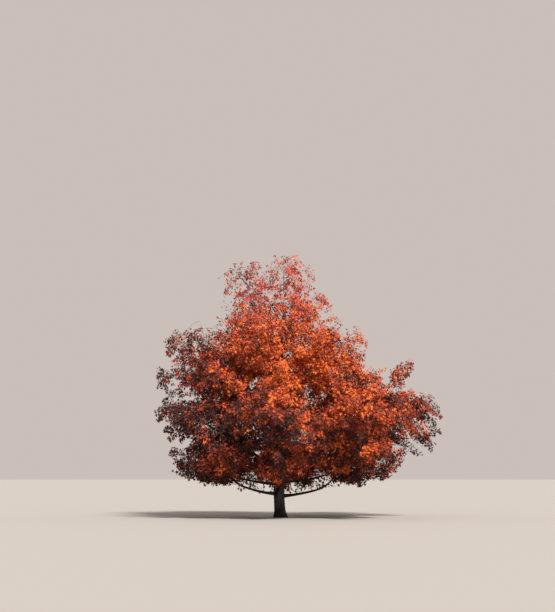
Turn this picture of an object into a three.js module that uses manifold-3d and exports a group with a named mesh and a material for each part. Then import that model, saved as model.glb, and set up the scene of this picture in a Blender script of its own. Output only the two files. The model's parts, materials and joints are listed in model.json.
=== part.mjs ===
// A red maple in autumn leaf, nine metres tall and a little wider, as it stands alone in a field.
// A short trunk with a root flare runs up through the crown. Boughs leave it on all sides, the low
// ones nearly level and the high ones steep, and each ends in a mass of foliage: twigs in opposite
// pairs on one stem, with blades that each stand for a spray of leaves.
// Millimetres, Z up. The origin is the middle of the trunk's flat foot at ground level. Seen from
// the front, X runs to the right and Y away.

import * as THREE from "three";
import { mergeVertices } from "three/addons/utils/BufferGeometryUtils.js";
import Module from "manifold-3d";

const wasm = await Module();
wasm.setup();

// Sizes of the trunk
const trunk = {
  height: 7700,
  radius: 188,
  clear: 900, // up to here the shaft keeps its full radius
  apex: 8350, // where the taper would come to nothing
  taper: 1.12,
  lean: 0.012,
  sway: 46,
  swayLength: 4200,
  depthSway: 40,
  depthSwayLength: 5600,
  flare: 0.42,
  flareHeight: 150,
  rootLobes: 5,
  lobeDepth: 0.16,
  lobeHeight: 260,
  sides: 12,
  rings: 16,
  ringCrowding: 1.35, // above 1, the rings stand closer towards the foot
};

// Rings of masses, from the ground up. shift moves a ring's middle along X, because the crown
// reaches further to one side at some heights. halves are a mass's half sizes: out from the trunk,
// across, and up. feet is the range of heights at which the boughs leave the trunk.
const rings = [
  {
    name: "lowest",
    count: 6,
    turn: 30,
    height: 2080,
    shift: 150,
    reach: 2700,
    halves: [1750, 1800, 1000],
    feet: [740, 1300],
    launch: 0,
    girth: 50,
    pairs: 7,
  },
  {
    name: "broad",
    count: 7,
    turn: 0,
    height: 3200,
    shift: 450,
    reach: 3450,
    halves: [1800, 2000, 1400],
    feet: [1480, 2350],
    launch: 30,
    girth: 60,
    pairs: 7,
  },
  {
    name: "middle",
    count: 5,
    turn: 0,
    height: 4680,
    shift: -380,
    reach: 2300,
    halves: [1680, 2000, 1300],
    feet: [2650, 3500],
    launch: 36,
    girth: 48,
    pairs: 7,
  },
  {
    name: "high",
    count: 5,
    turn: 36,
    height: 5780,
    shift: -340,
    reach: 2000,
    halves: [1500, 1750, 1150],
    feet: [3850, 4700],
    launch: 42,
    girth: 38,
    pairs: 7,
  },
  {
    name: "upper",
    count: 4,
    turn: 225,
    height: 7050,
    shift: -160,
    reach: 1150,
    halves: [1020, 1180, 1150],
    feet: [5150, 5900],
    launch: 56,
    girth: 27,
    pairs: 6,
  },
];

// Single masses that stand out of the rings: the crown's two tips and the tuft that rises
// from the bough on the right. tilt is how far, in degrees, a mass leans out from the trunk.
const tufts = [
  {
    name: "top",
    centre: [350, 0, 8000],
    halves: [820, 900, 1000],
    pairs: 6,
  },
  {
    name: "side_tip",
    centre: [-1100, 60, 7950],
    halves: [900, 800, 960],
    foot: 6650,
    launch: 62,
    girth: 20,
    pairs: 5,
  },
  {
    name: "right_tuft",
    centre: [4110, -250, 4830],
    halves: [290, 340, 720],
    tilt: 42,
    parent: "bough_broad_1",
    share: 0.55,
    launch: 40,
    girth: 26,
    pairs: 5,
  },
];

// Sizes that all boughs and masses share
const seatGap = 0.3; // between a limb and what carries it
const neighbourGap = 14; // between a mass and the plane where its neighbour begins
const limbGap = 12; // between foliage and a limb that passes through it
const variety = 0.07; // how far a ring's masses stray from its sizes
const turnVariety = 80; // and how much of it, in degrees, goes to their places round the trunk
const stagger = 0.382; // share of the feet range between one bough and the next
const flatness = 1.6; // masses part on planes that lean towards the level by this
const bough = {
  bend: 0.48, // share of the way to the mass at which it bends
  entry: [0.86, 0.06], // depth of its tip in the mass, from the middle, and the step inwards from there
  tipDepth: 90, // its tip lies at least this far inside its mass's planes
  tipShare: 0.55, // radius at the tip, against the girth
  collar: 0.45,
  collarLength: 150,
  wobble: 34,
  wobbleRise: 0.6,
  sides: 6,
  steps: 5,
};
const stem = {
  share: 0.74, // share of the room ahead that it takes up
  lift: 0.14,
  tipShare: 0.62,
  sides: 4,
  steps: 3,
  pairs: [0.12, 0.88], // share of its length at the first and last pair of twigs
  endTwig: 0.97,
};
const twig = {
  radius: [0.42, 0.3], // at foot and end, against the stem's at its start
  sides: 3,
  spread: [96, 46], // degrees between twig and stem, at the first and last pair
  spreadStray: 16,
  turnStray: 0.5,
  reach: 0.97, // share of the room ahead that the longest takes up
  shortest: 0.3, // in reaches of its leaf
  trim: 0.08, // it is cut back by this much at a time until its leaf fits
};

// A leaf stands for a spray: three lobes round a hub, cupped and thickest at the hub. Sizes are
// shares of its reach from hub to tip. outline runs from the middle tip to the base, with degrees.
const leaf = {
  size: 0.5, // reach, as a share of the mass's mean half size
  range: [0.88, 1.12],
  outline: [
    [0, 1],
    [33, 0.6],
    [67, 0.94],
    [180, 0.46],
  ],
  hub: 0.028,
  cup: 0.16,
  seat: [150, 0.1], // where the twig meets it
  facing: [2.2, 1, 0.5], // how much it faces out of its mass, away from the trunk, and up
  stray: 0.45,
  turn: 0.7,
  levelled: 0.3, // a leaf this nearly square to its twig hangs its tip down instead
  apart: 0.55, // a twig longer than two such reaches bears a second leaf halfway
};
const firstSeed = 4171;
const weld = 1e-3; // corners this near are one
const nearUpright = 0.94; // a line this steep has no clear way across
const sameLevel = 1e-6; // a way that rises this little towards a plane never meets it

const barkMaterial = new THREE.MeshStandardMaterial({ color: 0x3a332f, roughness: 0.95, metalness: 0 });
const leafMaterial = new THREE.MeshStandardMaterial({ color: 0xc8431c, roughness: 0.7, metalness: 0 });

const up = new THREE.Vector3(0, 0, 1);
const radians = THREE.MathUtils.degToRad;
const mix = THREE.MathUtils.lerp;

// A linear congruential generator, so that the tree is the same each time.
function seeded(seed) {
  let state = Math.imul(seed, 2654435761) >>> 0;
  return () => {
    state = (Math.imul(state, 1664525) + 1013904223) >>> 0;
    return state / 4294967296;
  };
}

function heading(azimuth, elevation) {
  const level = Math.cos(elevation);
  return new THREE.Vector3(Math.cos(azimuth) * level, Math.sin(azimuth) * level, Math.sin(elevation));
}

// Two directions square to a line, the second as near to up as it can be.
function frameOf(direction) {
  const reference = Math.abs(direction.z) > nearUpright ? new THREE.Vector3(-1, 0, 0) : up;
  const across = new THREE.Vector3().crossVectors(direction, reference).normalize();
  return { across, over: new THREE.Vector3().crossVectors(across, direction) };
}

class TrunkLine extends THREE.Curve {
  getPoint(share, target = new THREE.Vector3()) {
    return this.at(trunk.height * share, target);
  }

  at(height, target = new THREE.Vector3()) {
    const turn = (2 * Math.PI * height) / trunk.swayLength;
    const depthTurn = (2 * Math.PI * height) / trunk.depthSwayLength;
    return target.set(
      trunk.lean * height - trunk.sway * Math.sin(turn),
      trunk.depthSway * Math.sin(depthTurn),
      height,
    );
  }
}

// A bough leaves its parent at the launch angle, bends towards its mass and wobbles a little.
class BoughLine extends THREE.Curve {
  constructor(foot, bend, tip, phase) {
    super();
    this.arc = new THREE.QuadraticBezierCurve3(foot, bend, tip);
    const chord = tip.clone().sub(foot).normalize();
    this.frame = frameOf(chord);
    this.phase = phase;
  }

  getPoint(share, target = new THREE.Vector3()) {
    const fade = Math.sin(Math.PI * share);
    const turn = 2 * Math.PI * share + this.phase;
    return target
      .copy(this.arc.getPoint(share))
      .addScaledVector(this.frame.across, bough.wobble * fade * Math.sin(turn))
      .addScaledVector(this.frame.over, bough.wobbleRise * bough.wobble * fade * Math.cos(turn));
  }
}

function shaftRadius(height) {
  const share = Math.max(0, height - trunk.clear) / (trunk.apex - trunk.clear);
  return trunk.radius * (1 - share) ** trunk.taper;
}

function trunkRadius(height, angle) {
  const flare = trunk.flare * Math.exp(-height / trunk.flareHeight);
  const lobes = trunk.lobeDepth * Math.cos(trunk.rootLobes * angle) * Math.exp(-height / trunk.lobeHeight);
  return shaftRadius(height) * (1 + flare + lobes);
}

// A closed tube: a cylinder whose rings are carried onto a line. radiusAt takes the share of the
// way along and the angle round.
function tube(line, radiusAt, sides, steps) {
  const geometry = new THREE.CylinderGeometry(1, 1, 1, sides, steps);
  const place = geometry.getAttribute("position");
  const centre = new THREE.Vector3();
  for (let i = 0; i < place.count; i++) {
    const share = place.getY(i) + 0.5;
    const angle = Math.atan2(place.getZ(i), place.getX(i));
    const out = Math.hypot(place.getX(i), place.getZ(i)) > 0.5 ? radiusAt(share, angle) : 0;
    const direction = line.getTangent(share);
    const { across, over } = frameOf(direction);
    line.getPoint(share, centre);
    centre.addScaledVector(over, -out * Math.cos(angle)).addScaledVector(across, out * Math.sin(angle));
    place.setXYZ(i, centre.x, centre.y, centre.z);
  }
  return geometry;
}

function solid(geometry) {
  const bare = new THREE.BufferGeometry();
  bare.setAttribute("position", geometry.getAttribute("position"));
  if (geometry.index) bare.setIndex(geometry.index);
  const merged = mergeVertices(bare, weld);
  return new wasm.Manifold(
    new wasm.Mesh({
      numProp: 3,
      vertProperties: merged.attributes.position.array,
      triVerts: new Uint32Array(merged.index.array),
    }),
  );
}

// The largest body of a solid: loose scraps and sealed hollows are left behind.
function mainBody(whole) {
  return whole.decompose().reduce((best, body) => (body.volume() > best.volume() ? body : best));
}

function meshOf(body, name, material) {
  const made = body.getMesh();
  const geometry = new THREE.BufferGeometry();
  const corners = Array.from({ length: made.numVert }, (_, i) =>
    Array.from(made.vertProperties.subarray(i * made.numProp, i * made.numProp + 3)),
  ).flat();
  geometry.setAttribute("position", new THREE.Float32BufferAttribute(corners, 3));
  geometry.setIndex(new THREE.BufferAttribute(made.triVerts, 1));
  geometry.computeVertexNormals();
  const mesh = new THREE.Mesh(geometry, material);
  mesh.name = name;
  return mesh;
}

// The space that a mass keeps to: an ellipsoid, cut by planes where its neighbours begin.
class Space {
  constructor(centre, halves, azimuth, tilt) {
    this.centre = centre;
    this.halves = halves;
    this.meanHalf = Math.cbrt(halves[0] * halves[1] * halves[2]);
    this.out = heading(azimuth, -tilt);
    this.across = heading(azimuth + Math.PI / 2, 0);
    this.top = new THREE.Vector3().crossVectors(this.out, this.across);
    this.planes = [];
  }

  // A vector in units of the ellipsoid's half sizes
  units(vector) {
    return new THREE.Vector3(
      vector.dot(this.out) / (this.halves[0] - neighbourGap),
      vector.dot(this.across) / (this.halves[1] - neighbourGap),
      vector.dot(this.top) / (this.halves[2] - neighbourGap),
    );
  }

  // How far the ellipsoid reaches from its centre in a direction
  extent(direction) {
    return 1 / this.units(direction).length();
  }

  // The way out of the ellipsoid, square to its face
  outward(point) {
    const from = this.units(point.clone().sub(this.centre));
    return new THREE.Vector3()
      .addScaledVector(this.out, from.x / this.halves[0])
      .addScaledVector(this.across, from.y / this.halves[1])
      .addScaledVector(this.top, from.z / this.halves[2])
      .normalize();
  }

  // True if a box comes near enough that something in it could be inside
  nears({ min, max }) {
    const reach = Math.max(...this.halves);
    const box = new THREE.Box3(new THREE.Vector3(...min), new THREE.Vector3(...max));
    return box.distanceToPoint(this.centre) < reach;
  }

  partFrom(other) {
    const between = other.centre.clone().sub(this.centre);
    const direction = between.clone().normalize();
    const mine = this.extent(direction);
    const share = mine / (mine + other.extent(direction));
    const normal = new THREE.Vector3(between.x, between.y, between.z * flatness ** 2).normalize();
    const level = this.centre.clone().addScaledVector(between, share).dot(normal);
    this.planes.push({ normal, level: level - neighbourGap });
  }

  holds(point, margin = 0) {
    if (this.units(point.clone().sub(this.centre)).length() > 1) return false;
    return this.planes.every((plane) => plane.normal.dot(point) < plane.level - margin);
  }

  // The way from a point inside, along a direction, to where the space ends
  room(point, direction) {
    const from = this.units(point.clone().sub(this.centre));
    const step = this.units(direction);
    const a = step.lengthSq();
    const b = from.dot(step);
    const c = from.lengthSq() - 1;
    let way = (-b + Math.sqrt(Math.max(0, b * b - a * c))) / a;
    for (const plane of this.planes) {
      const towards = plane.normal.dot(direction);
      if (towards > sameLevel) way = Math.min(way, (plane.level - plane.normal.dot(point)) / towards);
    }
    return way;
  }
}

// The ring's masses, spread round the trunk and each a little different
function ringMasses(ring, random) {
  const stray = () => 1 + variety * (2 * random() - 1);
  return Array.from({ length: ring.count }, (_, i) => {
    const azimuth = radians(ring.turn + (360 / ring.count) * i + turnVariety * (stray() - 1));
    const reach = ring.reach * stray();
    const centre = new THREE.Vector3(
      ring.shift + reach * Math.cos(azimuth),
      reach * Math.sin(azimuth),
      ring.height + ring.halves[2] * 2 * (stray() - 1),
    );
    return {
      name: `${ring.name}_${i + 1}`,
      centre,
      halves: ring.halves.map((half) => half * stray()),
      foot: mix(ring.feet[0], ring.feet[1], (i * stagger) % 1),
      launch: ring.launch,
      girth: ring.girth,
      pairs: ring.pairs,
    };
  });
}

// The bough's line ends where it enters its mass, heading for the middle of it.
function boughLine(mass, start, random) {
  const towards = mass.centre.clone().sub(start);
  const azimuth = Math.atan2(towards.y, towards.x);
  const launch = heading(azimuth, radians(mass.launch));
  const bend = start.clone().addScaledVector(launch, towards.length() * bough.bend);
  const back = bend.clone().sub(mass.centre).normalize();
  const edge = mass.space.extent(back);
  const tip = new THREE.Vector3();
  let [share, step] = bough.entry;
  do {
    tip.copy(mass.centre).addScaledVector(back, edge * share);
    share -= step;
  } while (share > step && !mass.space.holds(tip, bough.tipDepth));
  return new BoughLine(start, bend, tip, 2 * Math.PI * random());
}

// Thick and collared where it leaves its parent's surface, a seat's way along, and then tapering
function boughRadius(mass, length, seat) {
  return (share, grow = 0) => {
    const way = Math.max(0, share * length - seat);
    const bare = mass.girth * mix(1, bough.tipShare, share);
    return bare * (1 + bough.collar * Math.exp(-way / bough.collarLength)) + grow;
  };
}

// A point on a leaf, by its angle from the tip, its way out from the hub and off the face
function leafPoint({ hub, ahead, normal, reach }, degrees, out, over) {
  const across = new THREE.Vector3().crossVectors(normal, ahead);
  return hub
    .clone()
    .addScaledVector(ahead, reach * out * Math.cos(radians(degrees)))
    .addScaledVector(across, reach * out * Math.sin(radians(degrees)))
    .addScaledVector(normal, reach * over);
}

// The leaf's rim, once round from the middle tip
function rimOf(place) {
  const half = leaf.outline;
  const back = half.slice(1, -1).reverse().map(([degrees, out]) => [-degrees, out]);
  return [...half, ...back].map(([degrees, out]) => leafPoint(place, degrees, out, -leaf.cup * out ** 2));
}

// A leaf's place: it faces out of its mass and up, its tip runs on from its twig and turns
// aside a little, and the twig meets it beside the hub.
function leafAt(mass, seat, way, { reach, stray, turn }) {
  const away = new THREE.Vector3(seat.x, seat.y, 0).normalize();
  const normal = mass.space
    .outward(seat)
    .multiplyScalar(leaf.facing[0])
    .addScaledVector(away, leaf.facing[1])
    .addScaledVector(up, leaf.facing[2])
    .add(stray)
    .normalize();
  const ahead = way.clone().addScaledVector(normal, -way.dot(normal));
  if (ahead.length() < leaf.levelled) ahead.copy(normal).multiplyScalar(normal.z).sub(up);
  ahead.normalize().applyAxisAngle(normal, turn);
  const place = { hub: seat, ahead, normal, reach };
  const [degrees, out] = leaf.seat;
  return { ...place, hub: leafPoint(place, degrees + 180, out, 0) };
}

// A leaf's solid: a ball of two rings whose equator is drawn out to the rim
function leafSolid(place) {
  const rim = rimOf(place);
  const geometry = new THREE.SphereGeometry(1, rim.length, 2);
  const corner = geometry.getAttribute("position");
  for (let i = 0; i < corner.count; i++) {
    const height = corner.getY(i);
    const turn = Math.atan2(-corner.getZ(i), corner.getX(i)) / (2 * Math.PI);
    const step = (Math.round(turn * rim.length) + rim.length) % rim.length;
    const at = Math.abs(height) > 0.5 ? leafPoint(place, 0, 0, leaf.hub * Math.sign(height)) : rim[step];
    corner.setXYZ(i, at.x, at.y, at.z);
  }
  return solid(geometry);
}

function twigSolid(base, end, girth) {
  const line = new THREE.LineCurve3(base, end);
  return solid(tube(line, (share) => girth * mix(...twig.radius, share), twig.sides, 1));
}

const clear = (body, others) => others.every((other) => body.intersect(other).isEmpty());

// A twig runs as far out as its end leaf stays within the mass's space, clear of limbs and of
// the twigs and leaves before it. A long one bears a second leaf on its way.
function growTwig(mass, limbs, grown, random, base, way) {
  const others = [...limbs, ...grown];
  const reach = leaf.size * mass.space.meanHalf * mix(...leaf.range, random());
  const stray = heading(2 * Math.PI * random(), 0).multiplyScalar(leaf.stray * random());
  const turns = [leaf.turn * (random() - 0.5), 2 * Math.PI * random()];
  const at = (length) => base.clone().addScaledVector(way, length);
  const leafHere = (length, turn, besides = []) => {
    const place = leafAt(mass, at(length), way, { reach, stray, turn });
    if (!rimOf(place).every((point) => mass.space.holds(point))) return null;
    const body = leafSolid(place);
    return clear(body, [...others, ...besides]) ? body : null;
  };
  let length = mass.space.room(base, way) * twig.reach;
  for (; length > reach * twig.shortest; length -= reach * twig.trim) {
    const end = leafHere(length, turns[0]);
    const shoot = twigSolid(base, at(length), mass.stemGirth);
    if (!end || !clear(shoot, others)) continue;
    const midway = length > 2 * leaf.apart * reach && leafHere(length / 2, turns[1], [end]);
    grown.push(shoot, end);
    if (midway) grown.push(midway);
    return;
  }
}

// A mass: its stem runs on from the bough's tip through the middle of the space, and bears
// twigs in opposite pairs, each pair turned a quarter from the last, and one at its end.
function growMass(mass, limbs, random) {
  const heart = mass.stemStart.clone().addScaledVector(mass.stemWay, seatGap);
  const aim = mass.stemWay.clone().addScaledVector(up, stem.lift).normalize();
  const length = mass.space.room(heart, aim) * stem.share;
  const bend = heart.clone().addScaledVector(mass.stemWay, length / 2);
  const line = new THREE.QuadraticBezierCurve3(heart, bend, heart.clone().addScaledVector(aim, length));
  const radiusAt = (share) => mass.stemGirth * mix(1, stem.tipShare, share);
  const grown = [];
  const spin = twig.turnStray * random();
  growTwig(mass, limbs, grown, random, line.getPoint(stem.endTwig), line.getTangent(1));
  for (let pair = 0; pair < mass.pairs; pair++) {
    const along = pair / (mass.pairs - 1);
    const share = mix(...stem.pairs, along);
    const base = line.getPoint(share);
    const onward = line.getTangent(share);
    const { across, over } = frameOf(onward);
    for (const hand of [0, 1]) {
      const turn = spin + (pair * Math.PI) / 2 + hand * Math.PI + twig.turnStray * (random() - 0.5);
      const spread = radians(mix(...twig.spread, along) + twig.spreadStray * (random() - 0.5));
      const side = across.clone().multiplyScalar(Math.cos(turn)).addScaledVector(over, Math.sin(turn));
      const way = onward.clone().multiplyScalar(Math.cos(spread)).addScaledVector(side, Math.sin(spread));
      growTwig(mass, limbs, grown, random, base, way);
    }
  }
  const core = solid(tube(line, radiusAt, stem.sides, stem.steps));
  return mainBody(wasm.Manifold.union([core, ...grown]));
}

function buildTree() {
  const random = seeded(firstSeed);
  const tree = new THREE.Group();
  const trunkLine = new TrunkLine();
  const masses = rings.flatMap((ring) => ringMasses(ring, random));
  for (const tuft of tufts) masses.push({ ...tuft, centre: new THREE.Vector3(...tuft.centre) });

  for (const mass of masses) {
    const azimuth = Math.atan2(mass.centre.y, mass.centre.x);
    mass.space = new Space(mass.centre, mass.halves, azimuth, radians(mass.tilt ?? 0));
  }
  for (const mass of masses)
    for (const other of masses) if (other !== mass) mass.space.partFrom(other.space);

  const ringShare = (share) => share ** trunk.ringCrowding;
  const trunkAt = {
    getPoint: (share, target) => trunkLine.at(trunk.height * ringShare(share), target),
    getTangent: () => up, // its rings are level, so that its foot is a flat cut at ground level
  };
  const trunkTube = (grow) => {
    const radiusAt = (share, angle) => trunkRadius(trunk.height * ringShare(share), angle) + grow;
    return tube(trunkAt, radiusAt, trunk.sides, trunk.rings);
  };
  tree.add(meshOf(solid(trunkTube(0)), "trunk", barkMaterial));

  const seats = { trunk: solid(trunkTube(seatGap)) };
  const limbs = [solid(trunkTube(limbGap))];
  const lines = {};
  for (const mass of masses) {
    if (!mass.girth) {
      mass.stemStart = trunkLine.getPoint(1);
      mass.stemWay = up;
      mass.stemGirth = shaftRadius(trunk.height);
      continue;
    }
    const name = `bough_${mass.name}`;
    const parent = mass.parent ?? "trunk";
    const start = mass.parent ? lines[parent].getPoint(mass.share) : trunkLine.at(mass.foot);
    const line = boughLine(mass, start, random);
    const length = line.getLength();
    const seat = mass.parent ? mass.girth : shaftRadius(mass.foot);
    const radiusAt = boughRadius(mass, length, seat);
    const grownBy = (grow) => solid(tube(line, (share) => radiusAt(share, grow), bough.sides, bough.steps));
    tree.add(meshOf(mainBody(grownBy(0).subtract(seats[parent])), name, barkMaterial));
    seats[name] = grownBy(seatGap);
    limbs.push(grownBy(limbGap));
    lines[name] = line;
    mass.stemStart = line.getPoint(1);
    mass.stemWay = line.getTangent(1);
    mass.stemGirth = mass.girth * bough.tipShare;
  }

  masses.forEach((mass, i) => {
    const near = limbs.filter((limb) => mass.space.nears(limb.boundingBox()));
    const body = growMass(mass, near, seeded(firstSeed + i));
    tree.add(meshOf(body, `foliage_${mass.name}`, leafMaterial));
  });
  return tree;
}

export default buildTree();
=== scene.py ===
"""A red maple in autumn leaf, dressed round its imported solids.

The trunk and the boughs get bark in relief. Each mass of foliage grows on from its bough by the rule
of the part's source, carried to finer twigs: a stem, twigs in opposite pairs, and in the place of
each large blade a spray, whose leaders run to the blade's lobes and bear short shoots with stalked
leaves. Metres, Z up. The origin is the middle of the trunk's foot, and the front looks along +Y.
"""

import json
import logging
import math
from dataclasses import dataclass, field
from enum import Enum
from typing import Callable

import bmesh
import bpy
import numpy as np
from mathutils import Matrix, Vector, noise
from numpy.typing import NDArray

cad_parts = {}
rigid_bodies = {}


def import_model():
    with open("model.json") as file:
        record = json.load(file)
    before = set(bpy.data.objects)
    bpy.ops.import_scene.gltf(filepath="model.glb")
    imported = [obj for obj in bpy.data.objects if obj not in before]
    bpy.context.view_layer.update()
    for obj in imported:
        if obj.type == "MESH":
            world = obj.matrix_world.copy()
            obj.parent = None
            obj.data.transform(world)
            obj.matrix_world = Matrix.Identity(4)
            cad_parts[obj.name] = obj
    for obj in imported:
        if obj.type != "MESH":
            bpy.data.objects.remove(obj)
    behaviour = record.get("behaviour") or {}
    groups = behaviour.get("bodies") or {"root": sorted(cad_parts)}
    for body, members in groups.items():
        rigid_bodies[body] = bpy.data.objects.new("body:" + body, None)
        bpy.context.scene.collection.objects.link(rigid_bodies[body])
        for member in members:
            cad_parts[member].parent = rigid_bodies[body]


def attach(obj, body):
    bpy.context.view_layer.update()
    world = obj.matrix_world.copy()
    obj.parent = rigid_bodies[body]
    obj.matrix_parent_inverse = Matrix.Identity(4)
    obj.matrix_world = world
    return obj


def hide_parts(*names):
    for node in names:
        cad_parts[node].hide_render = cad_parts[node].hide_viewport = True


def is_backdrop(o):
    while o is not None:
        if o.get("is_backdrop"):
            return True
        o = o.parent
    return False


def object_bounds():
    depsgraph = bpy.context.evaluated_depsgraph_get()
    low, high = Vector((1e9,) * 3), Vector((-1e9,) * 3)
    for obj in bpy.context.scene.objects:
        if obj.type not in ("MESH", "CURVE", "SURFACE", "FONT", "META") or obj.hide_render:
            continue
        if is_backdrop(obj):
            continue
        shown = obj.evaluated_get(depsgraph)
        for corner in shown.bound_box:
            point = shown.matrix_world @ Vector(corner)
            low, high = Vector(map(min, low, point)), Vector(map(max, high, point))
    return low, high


Array = NDArray[np.float64]
Marks = NDArray[np.int64]
Flags = NDArray[np.bool_]
Colour = tuple[float, float, float]
Object = bpy.types.Object
Finishes = list[bpy.types.Material]

log = logging.getLogger("maple")

BODY = "root"
FIRST_SEED = 4171
UP = np.array((0.0, 0.0, 1.0))
NEAR_UPRIGHT = 0.94
MATCH = 1e-4


def unit(vectors: Array) -> Array:
    """Vectors drawn out or in to a length of one."""
    return vectors / np.linalg.norm(vectors, axis=-1, keepdims=True)


def lengths(vectors: Array) -> Array:
    """How long each vector is."""
    return np.linalg.norm(vectors, axis=-1)


def mix(low: float | Array, high: float | Array, share: float | Array) -> float | Array:
    """The value that lies a share of the way from low to high."""
    return low + (high - low) * share


def ramp(values: Array, none_at: float, full_at: float) -> Array:
    """How far values are on their way to where a thing is full, from 0 to 1."""
    return np.clip((values - none_at) / (full_at - none_at), 0, 1)


def heading(azimuth: float, elevation: float) -> Array:
    """The direction at an azimuth and an elevation, in radians."""
    level = math.cos(elevation)
    return np.array((math.cos(azimuth) * level, math.sin(azimuth) * level, math.sin(elevation)))


def frame_of(directions: Array) -> tuple[Array, Array]:
    """Finds two directions square to each line.

    Args:
        directions: One unit vector, or rows of them.

    Returns:
        The direction across each line, and the one over it, as near to up as it can be.
    """
    upright = np.abs(directions[..., 2:]) > NEAR_UPRIGHT
    reference = np.where(upright, np.array((-1.0, 0.0, 0.0)), UP)
    across = unit(np.cross(directions, reference))
    return across, np.cross(across, directions)


def placed(name: str, data: bpy.types.ID) -> Object:
    """Links a new object to the scene, at the origin.

    Args:
        name: Its name.
        data: Its mesh, light or camera.

    Returns:
        The object.
    """
    made = bpy.data.objects.new(name, data)
    bpy.context.scene.collection.objects.link(made)
    return made


def bare_material(name: str) -> tuple[bpy.types.Material, bpy.types.ShaderNode]:
    """Makes a material that nothing is set on yet.

    Args:
        name: Its name.

    Returns:
        The material and its one shader.
    """
    made = bpy.data.materials.new(name)
    made.use_nodes = True
    return made, made.node_tree.nodes["Principled BSDF"]


class Draws:
    """Seeded numbers from 0 to 1, the same as the source draws."""

    MULTIPLIER = 1664525
    STEP = 1013904223
    SPREAD = 2654435761
    RANGE = 2**32

    def __init__(self, seed: int) -> None:
        """Starts a row of numbers from a seed."""
        self.state = seed * self.SPREAD % self.RANGE

    def next(self) -> float:
        """The next number in the row."""
        self.state = (self.state * self.MULTIPLIER + self.STEP) % self.RANGE
        return self.state / self.RANGE

    def stray(self, variety: float) -> float:
        """A factor that strays from one by up to a share."""
        return 1 + variety * (2 * self.next() - 1)


@dataclass(frozen=True)
class PlainFinish:
    """A finish of one even colour."""

    name: str
    colour: Colour
    roughness: float = 0.9
    specular: float = 0.5

    def material(self) -> bpy.types.Material:
        """Makes the material.

        Returns:
            One with a single shader, its values set on its own sockets.
        """
        made, shader = bare_material(self.name)
        shader.inputs["Base Color"].default_value = (*self.colour, 1)
        shader.inputs["Roughness"].default_value = self.roughness
        shader.inputs["Specular IOR Level"].default_value = self.specular
        return made


@dataclass(frozen=True)
class LeafFinish(PlainFinish):
    """A leaf's autumn colour."""

    roughness: float = 0.62
    specular: float = 0.28


@dataclass(frozen=True)
class TwigFinish(PlainFinish):
    """The bark of twigs too thin for relief."""

    roughness: float = 0.85


class Tint(Enum):
    """The autumn colours: from dull to bright, and then those of the thin top. The tint rule deals the dull
    end partly as painted shade and the bright end partly as painted sunlight.
    """

    # Near black: mostly for the deepest painted shade in the crown.
    DUSK = LeafFinish("leaf_dusk", (0.035, 0.009, 0.008))
    MAROON = LeafFinish("leaf_maroon", (0.11, 0.019, 0.013))
    BRICK = LeafFinish("leaf_brick", (0.22, 0.031, 0.014))
    EMBER = LeafFinish("leaf_ember", (0.37, 0.05, 0.014))
    FLAME = LeafFinish("leaf_flame", (0.54, 0.08, 0.016))
    AMBER = LeafFinish("leaf_amber", (0.62, 0.13, 0.025))
    WINE = LeafFinish("leaf_wine", (0.13, 0.025, 0.026))
    CRIMSON = LeafFinish("leaf_crimson", (0.34, 0.045, 0.038))
    ROSE = LeafFinish("leaf_rose", (0.45, 0.08, 0.062))


class Wood(Enum):
    """The ages of the wood inside the masses."""

    OLD = TwigFinish("twig_old", (0.045, 0.038, 0.034))
    YOUNG = TwigFinish("twig_young", (0.095, 0.045, 0.032), 0.7)


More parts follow.
